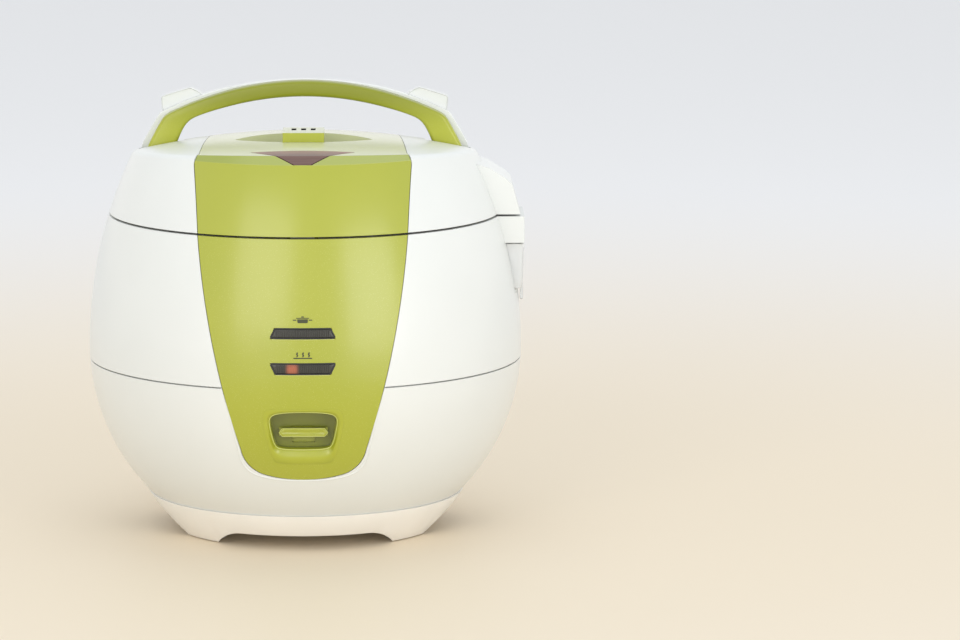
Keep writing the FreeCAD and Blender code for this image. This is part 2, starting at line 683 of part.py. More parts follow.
def handleTray(name, grow):
    # the handle lies down into this tray: a round-ended trough with two slots for the legs
    floor = dim["trayFloor"] - grow
    top = 262
    bar = common(name + "Bar", box(name + "Box", (-dim["trayHalf"] - grow, dim["trayHalf"] + grow),
                                   (dim["trayFront"] - grow, dim["trayBack"] + grow), (floor, top)),
                 rod(name + "Disc", dim["trayRadius"] + grow, (0, 0, floor), top - floor))
    outer = dim["trayHalf"] + grow
    inner = dim["legSlotInner"] - grow
    behind = dim["trayFront"] + 1
    slots = [box(f"{name}Slot{i}", x, (dim["legSlotFront"] - grow, behind), (floor, top))
             for i, x in enumerate(((-outer, -inner), (inner, outer)))]
    # the legs lean inwards, so each slot is wider towards its back
    nooks = [box(f"{name}Nook{i}", x, (17.5 - grow, behind), (floor, top))
             for i, x in enumerate(((-outer, -inner + 4.1), (inner - 4.1, outer)))]
    return fuse(name, bar, *slots, *nooks)


def makeLidShell():
    sharp = lidSolid("LidSharp", 0, lidBottom)
    doc.recompute()
    rounded = doc.addObject("Part::Fillet", "LidRounded")
    rounded.Base = sharp
    shoulder = [number for number, edge in enumerate(sharp.Shape.Edges, start=1)
                if edge.BoundBox.ZMin > 210 and edge.BoundBox.ZMax < 240]
    radius = dim["shoulderRound"].value
    rounded.Edges = [(number, radius, radius) for number in shoulder]
    inner = lidSolid("LidInner", wall, 180)
    fairing = prism("Fairing", "XZ_Plane", [(95, 222.5), (104, 221.5), (110, 219.5), (120, 213.3),
                                            (124, 209.5), (129, lidBottom), (95, lidBottom)],
                    -dim["podBack"], dim["podBack"] + dim["podFront"])
    fairingRoom = prism("FairingRoom", "XZ_Plane", [(90, 218.5), (109, 216.8), (118, 211.6),
                                                    (121.8, 208), (126.4, 180), (90, 180)],
                        -dim["podBack"] + 2.4, dim["podBack"] + dim["podFront"] - 4.8)
    spotY = dim["hingeBack"]
    spotZ = dim["hingeHeight"]
    barrelHalf = dim["barrelHalf"]
    radius = dim["barrelRadius"]
    tongue = cut("Tongue", box("TongueBox", (-barrelHalf, barrelHalf), (100, spotY), (191.6, 196.5)),
                 rod("TongueInside", 114, (0, 0, 185), 30))
    barrel = rod("Barrel", radius, (-barrelHalf, spotY, spotZ), barrelHalf * 2, "x")
    barrelTop = box("BarrelTop", (-barrelHalf, barrelHalf), (spotY - 13.5, spotY), (188, 196.4))
    bore = rod("BarrelBore", dim["hingePin"] + 0.06, (-40, spotY, spotZ), 80, "x")
    springRoom = rod("SpringRoom", 7, (12, spotY, spotZ), 30, "x")
    walls = cut("LidWalls", fuse("LidOutside", rounded, fairing), inner, fairingRoom)
    tray = common("TrayWalls", handleTray("TrayOuter", wall), rounded)
    pinHoles = [rod(f"HandlePinHole{i}", dim["pinRadius"] + 0.06,
                    (x, dim["pivotBack"], dim["pivotHeight"]), 12, "x")
                for i, x in enumerate((-76.5, 64.5))]
    whole = fuse("LidWhole", walls, tray, tongue, barrel, barrelTop)
    node(cut("LidShell", whole, handleTray("TrayInner", 0), panelPlan("LidPanelHole", gap, 180, 262),
             bore, springRoom, *pinHoles), "lid_shell")


def makeLidPanel():
    floor = dim["recessFloor"]
    skin = cut("PanelTopSkin", panelSolid("PanelTopOuter", 0, lidBottom),
               panelSolid("PanelTopInner", wall, 180))
    plate = common("PanelTop", skin, panelPlan("PanelTopPlan", 0, 185, 262))
    under = common("RecessBlock", almond("RecessOuter", 2, 231.5, 242),
                   ball("RecessDome", dim["domeRadius"], domeCentre))
    notch = box("VentNotch", (-12.8, 12.8), (-57.9, -31.5), (floor, 250))
    notchFloor = box("NotchFloor", (-14.8, 14.8), (-59.9, -40), (231.5, floor + 2))
    ventHole = rod("VentHole", 9, (0, -dim["ventForward"], 220), 30)
    node(cut("LidPanel", fuse("PanelWithRecess", plate, under, notchFloor),
             almond("RecessRoom", 0, floor, 250), notch, ventHole,
             buttonPlan("ButtonHole", 0.4, 215, 262)), "lid_panel")


def makeButton():
    upper = common("ButtonUpper", panelSolid("ButtonSkin", 0, 220),
                   buttonPlan("ButtonPlan", 0, 222, 250))
    face = cut("ButtonFace", upper, panelSolid("ButtonUnder", 4, 215))
    leg = box("ButtonLeg", (-3, 3), (-90.5, -86), (205, 233))
    node(fuse("LidButton", face, common("ButtonLegTrim", leg, panelSolid("LegSkin", 2, 200))),
         "lid_button")
    bridge = box("GuideTop", (-14, 14), (-98, -80), (201, 203))
    legs = [box(f"GuideLeg{i}", (x, x + 2), (-98, -80), (195.1, 203)) for i, x in enumerate((-14, 12))]
    hole = box("GuideHole", (-3.4, 3.4), (-91, -85.5), (200, 204))
    node(cut("LatchGuide", fuse("GuideBody", bridge, *legs), hole), "latch_guide")
    node(coil("ButtonSpring", 5.4, 0.5, 20, 4, (0, -88.25, 203.7)), "button_spring")
    bar = box("LatchBar", (-10, 10), (-109, -64), (196, 199.5))
    drop = box("LatchDrop", (-7, 7), (-109.5, -107.5), (186.6, 199.5))
    nose = prism("LatchNose", "YZ_Plane", [(-109.6, 186.6), (-108, 186.6), (-108, 189),
                                           (-110.8, 189)], -7, 14)
    legSlot = box("LatchSlot", (-3.6, 3.6), (-96, -82), (195, 201))
    node(cut("LidLatch", fuse("LatchBody", bar, drop, nose), legSlot), "lid_latch")


def makeVentCap():
    forward = dim["ventForward"]
    block = box("CapBlock", (-12.2, 12.2), (-57.3, -32), (dim["recessFloor"] + gap, 245))
    stem = rod("CapStem", 7.5, (0, -forward, 222), 15)
    flue = rod("CapFlue", 5.8, (0, -forward, 221), 21)
    slots = [box(f"CapSlot{i}", (x - 1.4, x + 1.4), (-46, -37.5), (240, 246))
             for i, x in enumerate((-5.7, 0, 5.7))]
    node(cut("VentCap", fuse("CapBody", block, stem), flue, *slots), "vent_cap")
    node(tube("SteamTube", 10.6, 9.1, (0, -forward, 195.1), 36.3), "steam_tube")


def makeLidUnderside():
    outer = upperRadius(195, wall) - gap
    plate = turned("LinerPlate", [(0, 192.2), (105, 192.2), (105, 190.9), (107.6, 190.9),
                                  (107.6, 192.2), (outer, 192.2), (outer, 195), (0, 195)])
    hook = box("LinerHookHole", (-9, 9), (-112, -102), (185, 196))
    steam = rod("LinerSteamHole", 9, (0, -dim["ventForward"], 190), 8)
    knobHole = rod("LinerKnobHole", 3.2, (0, 0, 190), 8)
    screwSpots = [around(98, angle) for angle in (20, 160, 215, 325)]
    screwHoles = [rod(f"LinerScrewHole{i}", 1.7, (x, y, 190), 8) for i, (x, y) in enumerate(screwSpots)]
    node(cut("LidLiner", plate, hook, steam, knobHole, *screwHoles), "lid_liner")
    heads = [rod(f"LidScrewHead{i}", 2.6, (x, y, 192.0 - 0.2), 0.35) for i, (x, y) in
             enumerate(screwSpots)]
    shanks = [rod(f"LidScrewShank{i}", 1.5, (x, y, 192.0), 12) for i, (x, y) in enumerate(screwSpots)]
    node(fuse("LidScrews", *heads, *shanks), "lid_screws")
    cover = turned("InnerLidDisc", [(0, 188.6), (91.8, 188.6), (95, 190.9), (103, 190.9),
                                    (103, 191.6), (94.7, 191.6), (91.5, 189.3), (0, 189.3)])
    vents = [rod(f"InnerLidVent{i}", 2, (x, y - 45, 186), 8) for i, (x, y) in
             enumerate(around(7, angle) for angle in range(0, 360, 60))]
    knobBore = rod("InnerLidBore", 3.3, (0, 0, 186), 8)
    node(cut("InnerLid", cover, knobBore, *vents), "inner_lid")
    seal = turned("LidGasket", [(98, 190.2), (104.2, 190.2), (104.2, 191.8), (103.2, 191.8),
                                (103.2, 190.8), (98, 190.8)])
    node(seal, "lid_gasket")
    node(turned("InnerLidKnob", [(0, 184.5), (8, 184.5), (9, 186), (9, 188.5), (3, 188.5),
                                 (3, 197), (0, 197)]), "inner_lid_knob")


# ---------------------------------------------------------------- the handle

def archHeight(x, arc, crown):
    return crown - arc + root(arc * arc - asSize(x) * x)


def makeHandle():
    grip = dim["gripArc"]
    inner = dim["innerArc"]
    crown = dim["gripCrown"]
    depth = dim["handleDepth"]
    pivotY = dim["pivotBack"]
    pivotZ = dim["pivotHeight"]
    gripCorner = archHeight(85, grip, crown)
    innerCorner = archHeight(66.5, inner, dim["innerCrown"])

    def arch(name, grow, footOut, start):
        shellCorner = archHeight(85 + grow * 2, grip + grow, crown + grow)
        points = [(77.6, pivotZ), (footOut, pivotZ), (footOut, 229), (85 + grow * 2, shellCorner,
                  grip + grow), (-85 - grow * 2, shellCorner), (-footOut, 229), (-footOut, pivotZ),
                  (-77.6, pivotZ), (-66.5, innerCorner, -inner), (66.5, innerCorner)]
        return prism(name, "XZ_Plane", points, start, depth - 0.1)

    grow = 1.3
    front = arch("GripArch", 0, asSize(94.6), 0.05 - pivotY)
    rear = arch("ShellArch", grow, asSize(98.6), -pivotY - depth)
    feet = [rod(f"HandleFoot{i}", 9.2, (x, pivotY, pivotZ), 17.6, "x") for i, x in
            enumerate((-95, 77.4))]
    halves = {"Front": (-2, 12 - 0.05), "Rear": (12 + 0.05, 30)}
    pinBores = [rod(f"HandlePinBore{i}", dim["pinRadius"], (x, pivotY, pivotZ), 16, "x")
                for i, x in enumerate((-88, 72))]
    pads = [prism(f"CornerPad{i}", "XZ_Plane", points, -22, 8) for i, points in enumerate((
        [(60, 258), (86, 247), (86.5, 258.5), (67.5, 263.9)],
        [(-60, 258), (-67.5, 263.9), (-86.5, 258.5), (-86, 247)]))]
    bodies = {"Front": (front, []), "Rear": (rear, pads)}
    for side, (low, high) in halves.items():
        slab = box(f"Slab{side}", (-99, 99), (low, high), (210, 275))
        ends = common(f"Feet{side}", fuse(f"FeetPair{side}", *feet), slab)
        arched, extra = bodies[side]
        label = "handle_grip" if side == "Front" else "handle_shell"
        node(cut(f"Handle{side}", fuse(f"HandleBody{side}", arched, ends, *extra), *pinBores), label)
    pins = [rod(f"HandlePin{i}", dim["pinRadius"] - 0.02, (x, pivotY, pivotZ), 16, "x")
            for i, x in enumerate((-87.6, 71.6))]
    node(fuse("HandlePins", *pins), "handle_pins")


makeBase()
makeBottomCover()
makeLowerHousing()
makeUpperHousing()
makeDewCup()
makeFrontPanel()
makeLeverWell()
makeLamps()
makeRim()
makeCasing()
makePot()
makeHeater()
makeSensor()
makeLever()
makeWiring()
makeInlet()
makeRearCover()
makeLidShell()
makeLidPanel()
makeButton()
makeVentCap()
makeLidUnderside()
makeHandle()
doc.recompute()

faults = [item.Name for item in doc.Objects if "Invalid" in item.State or "Error" in item.State]
for item in nodes:
    if item.Shape.isNull() or not item.Shape.isValid() or not item.Shape.Solids:
        faults.append(f"{item.Label}: bad shape")
if faults:
    raise RuntimeError("failed objects: " + ", ".join(faults))

os.makedirs("parts", exist_ok=True)
for item in nodes:
    item.Shape.exportStep(f"parts/{item.Label}.step")
    bounds = item.Shape.BoundBox
    print(f"{item.Label:18s} solids {len(item.Shape.Solids)}  volume {item.Shape.Volume:9.0f}  "
          f"z {bounds.ZMin:6.1f} to {bounds.ZMax:6.1f}")
print(len(nodes), "nodes")
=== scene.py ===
import bpy
import bmesh
import json
import math
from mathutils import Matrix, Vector
from mathutils.bvhtree import BVHTree


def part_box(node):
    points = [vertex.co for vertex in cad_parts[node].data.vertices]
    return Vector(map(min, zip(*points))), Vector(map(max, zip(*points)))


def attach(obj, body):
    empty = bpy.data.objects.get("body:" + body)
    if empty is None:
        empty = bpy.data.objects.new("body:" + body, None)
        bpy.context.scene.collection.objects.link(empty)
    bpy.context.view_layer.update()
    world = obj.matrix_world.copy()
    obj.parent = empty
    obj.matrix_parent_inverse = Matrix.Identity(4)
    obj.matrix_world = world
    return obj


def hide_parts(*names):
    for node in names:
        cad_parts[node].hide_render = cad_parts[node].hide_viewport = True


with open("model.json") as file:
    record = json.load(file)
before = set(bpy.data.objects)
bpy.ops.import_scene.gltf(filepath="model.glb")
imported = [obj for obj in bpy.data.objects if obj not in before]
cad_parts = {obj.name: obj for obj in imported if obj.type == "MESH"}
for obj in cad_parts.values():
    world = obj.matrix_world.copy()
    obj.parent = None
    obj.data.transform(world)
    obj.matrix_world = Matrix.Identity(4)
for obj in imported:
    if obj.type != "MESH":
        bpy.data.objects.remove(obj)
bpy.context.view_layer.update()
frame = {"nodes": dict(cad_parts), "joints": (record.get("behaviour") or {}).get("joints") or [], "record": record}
nodes = frame["nodes"]
print("frame loaded:", len(nodes), "nodes")


def middle(name):
    low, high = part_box(name)
    return (low + high) / 2


potAxis = Vector((0, middle("inner_pot").y, 0))  # everything round is about this upright line


def metres(sizes):
    # turns sizes in millimetres to metres, also those in tuples and dictionaries
    if isinstance(sizes, dict):
        return {key: metres(size) for key, size in sizes.items()}
    if isinstance(sizes, tuple):
        return tuple(metres(size) for size in sizes)
    return sizes / 1000


# sockets and node trees

class Value:
    # a node's output that can be used in sums
    def __init__(self, graph, socket):
        self.graph = graph
        self.socket = socket

    def maths(self, operation, first, second=0.0):
        return self.graph.add("ShaderNodeMath", {"operation": operation}, {0: first, 1: second})

    def __add__(self, other):
        return self.maths("ADD", self, other)

    def __radd__(self, other):
        return self.maths("ADD", other, self)

    def __sub__(self, other):
        return self.maths("SUBTRACT", self, other)

    def __rsub__(self, other):
        return self.maths("SUBTRACT", other, self)

    def __mul__(self, other):
        return self.maths("MULTIPLY", self, other)

    def __rmul__(self, other):
        return self.maths("MULTIPLY", other, self)

    def __truediv__(self, other):
        return self.maths("DIVIDE", self, other)

    def __rtruediv__(self, other):
        return self.maths("DIVIDE", other, self)

    def __pow__(self, other):
        return self.maths("POWER", self, other)

    def __lt__(self, other):
        return self.maths("LESS_THAN", self, other)

    def __gt__(self, other):
        return self.maths("GREATER_THAN", self, other)

    def __abs__(self):
        return self.maths("ABSOLUTE", self)


class Graph:
    def __init__(self, tree):
        self.tree = tree

    def feed(self, socket, value):
        # a list of values goes to a socket that takes several
        for item in value if isinstance(value, list) else [value]:
            if isinstance(item, Value):
                self.tree.links.new(item.socket, socket)
            else:
                socket.default_value = item

    def add(self, kind, settings=None, sockets=None, out=0):
        node = self.tree.nodes.new(kind)
        for key, setting in (settings or {}).items():
            setattr(node, key, setting)
        for key, value in (sockets or {}).items():
            self.feed(node.inputs[key], value)
        return Value(self, node.outputs[out])

    def paint(self, values):
        # feeds the shader's own sockets
        for key, value in values.items():
            self.feed(self.shader.inputs[key], value)

    def blend(self, share, *pair):
        # two colours mixed by a share from 0 to 1
        first, second = (part if isinstance(part, Value) else (*part, 1.0) for part in pair)
        return self.add("ShaderNodeMix", {"data_type": "RGBA"}, {"Factor": share, 6: first, 7: second}, out=2)

    def shades(self, share, look):
        return self.blend(share, look["colour"], look["shade"])

    def between(self, share, limits):
        low, high = limits
        return share * (high - low) + low

    def noise(self, size, detail=2.0, place=None, stretch=None):
        # size is in metres, from one patch to the next
        place = place or self.place
        if stretch:
            place = self.add("ShaderNodeMapping", {}, {"Vector": place, "Scale": stretch})
        return self.add("ShaderNodeTexNoise", {"noise_dimensions": "3D"},
                        {"Vector": place, "Scale": 1 / size, "Detail": detail, "Roughness": 0.55})

    def steps(self, value, low, high):
        # 0 below low, 1 above high, smooth between
        return self.add("ShaderNodeMapRange", {"interpolation_type": "SMOOTHSTEP"},
                        {"Value": value, "From Min": low, "From Max": high})

    def specks(self, spacing, reach):
        # 1 on scattered round specks, 0 around them
        spots = self.add("ShaderNodeTexVoronoi", {"feature": "F1"}, {"Vector": self.place, "Scale": 1 / spacing})
        return spots < reach

    def bumpy(self, height, distance, rounding=0.0):
        # bumps, on edges that shade as if they were rounded
        sockets = {"Height": height, "Distance": distance, "Strength": 1.0}
        if rounding:
            sockets["Normal"] = self.add("ShaderNodeBevel", {"samples": 4}, {"Radius": rounding})
        return self.add("ShaderNodeBump", {}, sockets)

    def parts(self):
        # the object coordinates about the pot's axis, one number each
        flat = self.add("ShaderNodeVectorMath", {"operation": "SUBTRACT"},
                        {0: self.place, 1: tuple(potAxis)})
        split = self.add("ShaderNodeSeparateXYZ", {}, {0: flat})
        return [Value(self, socket) for socket in split.socket.node.outputs]


def startMaterial(name, shaderValues):
    material = bpy.data.materials.new(name)
    material.use_nodes = True
    graph = Graph(material.node_tree)
    graph.shader = material.node_tree.nodes["Principled BSDF"]
    graph.paint(shaderValues)
    graph.place = graph.add("ShaderNodeTexCoord", out="Object")
    return material, graph


moulding = {
    "patch": 0.07, "haze": 0.05, "grain": 0.0011, "peel": 0.000006, "rounding": 0.0004,
    "fleckSpacing": 0.0009, "fleckReach": 0.16, "ridgeLift": 0.0002, "facetDrop": 0.0003,
}
capSlots = metres({"side": 5.7, "half": 1.46, "front": -46.1, "back": -37.4, "skin": 0.3})


def mouldedPlastic(name, look):
    # a smooth moulding: slow shifts of colour, a faint orange peel, handling haze in the gloss
    material, graph = startMaterial(name, {
        "IOR": 1.49, "Coat Weight": look.get("coat", 0.0), "Coat Roughness": look.get("coatHaze", 0.2)})
    share = graph.steps(graph.noise(moulding["patch"]), 0.35, 0.65)
    base = graph.shades(share, look)
    if "fleck" in look:
        # mica in the plastic: tiny lighter specks
        specks = graph.specks(moulding["fleckSpacing"], moulding["fleckReach"])
        base = graph.blend(specks * look["fleckShare"], base, look["fleck"])
    x, y, z = graph.parts()
    if "deep" in look:
        # painted shade: a darker colour, reached along Y for the lever recess (deeper in) and up Z for the handle
        # (higher on the arch)
        depth = graph.steps(z if look.get("upwards") else y, look["from"], look["to"])
        base = graph.blend(depth, base, look["deep"])
    if "top" in look:
        # painted reflection and shade: above the lid's ridge the top is painted paler as a sheen, and the facet
        # under it is painted darker
        ridge = look["ridge"]
        rims = [v.co - potAxis for v in nodes["lid_panel"].data.vertices if abs(v.co.z - ridge) < 0.0001]
        radius = max(math.hypot(spot.x, spot.y) for spot in rims)
        drop = (radius - (x * x + y * y) ** 0.5) * look["slope"] + ridge - z
        upper = graph.blend(drop > moulding["facetDrop"], look["facet"], look["top"])
        base = graph.blend(z > ridge + moulding["ridgeLift"], base, upper)
    if "slots" in look:
        # painted reflection and shade: the cap's top is painted pale as a sheen, and its steam slots are painted
        # near black as the shade inside them
        side = abs(x)
        near = side.maths("MINIMUM", abs(side - capSlots["side"]), side)
        inSlot = (near < capSlots["half"]) * (y > capSlots["front"]) * (y < capSlots["back"])
        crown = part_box("vent_cap")[1].z - capSlots["skin"]
        base = graph.blend(z > crown, base, look["frosted"])
        base = graph.blend(inSlot, base, look["slots"])
    grain = graph.noise(moulding["grain"], 1.0)
    graph.paint({"Base Color": base,
                 "Roughness": graph.between(graph.noise(moulding["haze"]), look["rough"]),
                 "Normal": graph.bumpy(grain, look.get("peel", moulding["peel"]), moulding["rounding"])})
    return material


plasticLooks = {
    "whiteShell": {"colour": (0.765, 0.785, 0.765), "shade": (0.75, 0.77, 0.75), "rough": (0.3, 0.36),
        "coat": 0.3},
    # whiteBase: its own warmer white, made lighter than the shell as painted light bounced up from the floor
    "whiteBase": {"colour": (0.88, 0.86, 0.81), "shade": (0.86, 0.84, 0.79), "rough": (0.3, 0.42)},
    "greenPanel": {"colour": (0.385, 0.41, 0.022), "shade": (0.37, 0.40, 0.02), "rough": (0.34, 0.4),
        "coat": 1.0, "coatHaze": 0.22, "fleck": (0.66, 0.68, 0.20), "fleckShare": 0.5},
    # greenHandle: darker towards the top of the arch, a painted shade
    "greenHandle": {"colour": (0.42, 0.445, 0.03), "shade": (0.41, 0.435, 0.03), "rough": (0.32, 0.38),
        "coat": 0.3, "upwards": True, "deep": (0.24, 0.262, 0.006), "from": 0.236, "to": 0.262,
        "fleck": (0.58, 0.6, 0.15), "fleckShare": 0.4},
    # lidGreen: the pale top and the darker facet are painted reflection and painted shade
    "lidGreen": {"colour": (0.385, 0.41, 0.022), "shade": (0.37, 0.40, 0.02), "rough": (0.34, 0.4),
        "coat": 1.0, "coatHaze": 0.22, "top": (0.61, 0.63, 0.40), "facet": (0.29, 0.335, 0.008),
        "ridge": 0.231, "slope": 0.67},
    # capGreen: its pale top is a painted sheen, and its near-black slots are painted shade
    "capGreen": {"colour": (0.40, 0.425, 0.026), "shade": (0.39, 0.42, 0.024), "rough": (0.34, 0.4),
        "coat": 0.6, "frosted": (0.66, 0.68, 0.52), "slots": (0.006, 0.006, 0.004)},
    # wellGreen: darker deeper into the lever recess, a painted shade
    "wellGreen": {"colour": (0.395, 0.42, 0.024), "shade": (0.385, 0.41, 0.022), "rough": (0.34, 0.4),
        "coat": 0.8, "coatHaze": 0.22, "deep": (0.20, 0.22, 0.006), "from": -0.1205, "to": -0.114},
    # a lighter green for thin beads on lips and rims: partly real rounded edges, the lighter colour a painted
    # highlight
    "edgeHighlight": {"colour": (0.62, 0.655, 0.2), "shade": (0.6, 0.64, 0.18), "rough": (0.3, 0.36)},
    "greyMoulding": {"colour": (0.42, 0.43, 0.44), "shade": (0.38, 0.39, 0.40), "rough": (0.4, 0.55)},
    "blackMoulding": {"colour": (0.018, 0.018, 0.02), "shade": (0.028, 0.028, 0.03),
        "rough": (0.35, 0.5), "peel": 0.00002},
    "softRubber": {"colour": (0.03, 0.03, 0.032), "shade": (0.05, 0.05, 0.05), "rough": (0.7, 0.85),
        "peel": 0.00003},
    "milkySilicone": {"colour": (0.72, 0.72, 0.70), "shade": (0.66, 0.66, 0.64), "rough": (0.42, 0.55)},
    "brownBoard": {"colour": (0.22, 0.12, 0.035), "shade": (0.17, 0.09, 0.03), "rough": (0.5, 0.65)},
    "redWire": {"colour": (0.42, 0.02, 0.015), "shade": (0.36, 0.018, 0.014), "rough": (0.4, 0.5)},
}
made = {name: mouldedPlastic(name, look) for name, look in plasticLooks.items()}

metalGrain = {"streak": 0.0022, "patch": 0.03, "depth": 0.00001, "rounding": 0.0002}


def metal(name, look):
    # turned metal has rings about the pot's axis, rolled metal has streaks along X
    material, graph = startMaterial(name, {"IOR": 1.5, "Metallic": 1.0})
    x, y, z = graph.parts()
    if "turned" in look:
        radius = (x * x + y * y) ** 0.5
        rings = graph.add("ShaderNodeCombineXYZ", {}, {0: radius * look["turned"], 1: z * 30})
        lines = graph.noise(1.0, 3.0, rings)
    else:
        lines = graph.noise(metalGrain["streak"], 3.0, stretch=(0.04, 1, 1))
    graph.paint({"Base Color": graph.shades(graph.noise(metalGrain["patch"], 3.0), look),
                 "Roughness": graph.between(lines, look["rough"]),
                 "Normal": graph.bumpy(lines, metalGrain["depth"], metalGrain["rounding"])})
    return material


metalLooks = {
    "platedSteel": {"colour": (0.58, 0.58, 0.57), "shade": (0.50, 0.50, 0.50), "rough": (0.22, 0.42)},
    "turnedAluminium": {"colour": (0.76, 0.76, 0.76), "shade": (0.68, 0.68, 0.69), "rough": (0.25, 0.45),
        "turned": 1400},
    "bareBrass": {"colour": (0.72, 0.50, 0.18), "shade": (0.62, 0.42, 0.15), "rough": (0.2, 0.4)},
    "ferrite": {"colour": (0.06, 0.06, 0.065), "shade": (0.08, 0.08, 0.08), "rough": (0.5, 0.7)},
}
made.update({name: metal(name, look) for name, look in metalLooks.items()})


lensFace = {"grain": 0.004, "clearBy": 0.0007, "solidBy": 0.001}
warmGlow = {"spot": -0.0062, "width": 0.0032, "height": 0.0026, "light": (0.42, 0.10, 0.04)}


def smokedLens(name, node, glow=None):
    # dark smoked plastic; the lamp behind it lights a soft patch left of the middle
    material, graph = startMaterial(name, {"IOR": 1.5, "Roughness": 0.3})
    x, y, z = graph.parts()
    low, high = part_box(node)
    centre, half = (low.z + high.z) / 2, (high.z - low.z) / 2
    inside = graph.steps(abs(z - centre), half - lensFace["clearBy"], half - lensFace["solidBy"])
    ribs = graph.blend(graph.noise(lensFace["grain"]), (0.035, 0.034, 0.027), (0.06, 0.058, 0.048))
    graph.paint({"Base Color": graph.blend(inside, (0.008, 0.008, 0.006), ribs)})
    if glow:
        across = (x - glow["spot"]) / glow["width"]
        up = (z - centre) / glow["height"]
        fade = 1 / (1 + across * across * across * across + up * up * 0.6)
        light = graph.blend(graph.steps(fade, 0.12, 1.0), (0, 0, 0), glow["light"])
        graph.paint({"Emission Strength": 1.0, "Emission Color": light})
    return material


made["cookLens"] = smokedLens("cookLens", "cook_lens")
made["warmLens"] = smokedLens("warmLens", "warm_lens", warmGlow)


def clearPlastic(name, look):
    material, graph = startMaterial(name, {"IOR": 1.45, "Transmission Weight": look["clear"]})
    haze = graph.noise(0.006, 3.0)
    graph.paint({"Base Color": graph.shades(haze, look), "Roughness": graph.between(haze, look["rough"])})
    return material


made["clearCup"] = clearPlastic("clearCup", {"clear": 0.3, "colour": (0.95, 0.97, 0.97),
        "shade": (0.88, 0.90, 0.90), "rough": (0.15, 0.3)})
made["neonLamp"] = clearPlastic("neonLamp", {"clear": 0.5, "colour": (1.0, 0.55, 0.25),
        "shade": (0.9, 0.4, 0.18), "rough": (0.05, 0.1)})

button = {"line": 0.0007, "tip": 0.004, "front": (0.07, 0.022, 0.014), "back": (0.29, 0.14, 0.10),
          "bright": (0.42, 0.28, 0.24), "depth": 0.00002}


def brushedButton(name):
    # mauve lacquer over fine brush lines that run across, darker towards the front tip
    material, graph = startMaterial(name, {"IOR": 1.5, "Coat Weight": 0.3, "Coat Roughness": 0.1})
    low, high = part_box("lid_button")
    x, y, z = graph.parts()
    lines = graph.noise(button["line"], stretch=(0.03, 1, 1))
    back = graph.steps(y, low.y - potAxis.y + button["tip"], high.y - potAxis.y)
    base = graph.blend(back, button["front"], button["back"])
    graph.paint({"Base Color": graph.blend(lines * 0.3, base, button["bright"]),
                 "Metallic": lines * 0.3 + 0.35, "Roughness": lines * 0.2 + 0.25,
                 "Normal": graph.bumpy(lines, button["depth"])})
    return material


made["brushedButton"] = brushedButton("brushedButton")

potSkin = {
    "rim": 0.0063, "blendFrom": 0.0004, "blendTo": 0.0002, "lipHigh": 0.002, "bottomHigh": 0.001,
    "speckSpacing": 0.0016, "speckReach": 0.14, "line": 0.0012, "grain": 0.0006, "depth": 0.00001,
}


def potCoating(name):
    # dark speckled non-stick inside and on the rim, brushed aluminium outside
    material, graph = startMaterial(name, {"IOR": 1.5})
    x, y, z = graph.parts()
    low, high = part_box("inner_pot")
    radius = (x * x + y * y) ** 0.5
    wall = (high.x - low.x) / 2 - potSkin["rim"]
    outside = graph.steps(radius, wall - potSkin["blendFrom"], wall - potSkin["blendTo"])
    bare = z.maths("MAXIMUM", outside * (z < high.z - potSkin["lipHigh"]), z < low.z + potSkin["bottomHigh"])
    specks = graph.specks(potSkin["speckSpacing"], potSkin["speckReach"])
    dark = graph.blend(specks * 0.6, (0.035, 0.035, 0.037), (0.30, 0.30, 0.30))
    lines = graph.noise(potSkin["line"], 3.0, stretch=(0.05, 0.05, 1))
    bright = graph.blend(lines, (0.72, 0.72, 0.72), (0.62, 0.62, 0.63))
    graph.paint({"Base Color": graph.blend(bare, dark, bright), "Metallic": bare,
                 "Roughness": bare * 0.05 + lines * 0.12 + 0.22,
                 "Normal": graph.bumpy(graph.noise(potSkin["grain"]), potSkin["depth"])})
    return material


made["potCoating"] = potCoating("potCoating")
print("materials ready:", len(made))

# which finish each carried-over node gets
nodeFinishes = {
    "whiteShell": "lower_housing upper_housing dew_pocket drain_chute rear_cover lid_shell handle_shell",
    "whiteBase": "base_ring bottom_cover rim_ring lamp_housing",
    "greenPanel": "front_panel lever_well cook_key",
    "lidGreen": "lid_panel",
    "capGreen": "vent_cap",
    "greenHandle": "handle_grip",
    "greyMoulding": "latch_guide lid_latch lid_liner",
    "blackMoulding": "micro_switch terminal_block power_inlet",
    "softRubber": "foot_pads",
    "milkySilicone": "steam_tube lid_gasket inner_lid_knob",
    "brownBoard": "lamp_board",
    "redWire": "wiring_leads",
    "platedSteel": "base_screws latch_catch inner_casing casing_posts chassis_plate side_heater "
        "heater_tube plate_legs sensor_spring sensor_bracket switch_lever lever_bracket "
        "lever_pin hinge_pin hinge_spring button_spring lid_screws handle_pins",
    "turnedAluminium": "heating_plate sensor_cup inner_lid",
    "bareBrass": "thermal_fuse inlet_pins",
    "ferrite": "sensor_ferrite sensor_magnet",
    "cookLens": "cook_lens",
    "warmLens": "warm_lens",
    "clearCup": "dew_cup",
    "neonLamp": "indicator_lamps",
    "brushedButton": "lid_button",
    "potCoating": "inner_pot",
}


def setFinish(piece, material):
    piece.data.materials.clear()
    piece.data.materials.append(material)


for finish, names in nodeFinishes.items():
    for name in names.split():
        setFinish(nodes[name], made[finish])

bodyOf = {name: body for body, names in frame["record"]["behaviour"]["bodies"].items() for name in names}


def finishPiece(piece, node, finish):
    # the piece stands for the node, and rides and is finished as it is
    setFinish(piece, made[finish])
    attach(piece, bodyOf[node])
    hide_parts(node)


def newObject(name, data):
    item = bpy.data.objects.new(name, data)
    bpy.context.scene.collection.objects.link(item)
    return item


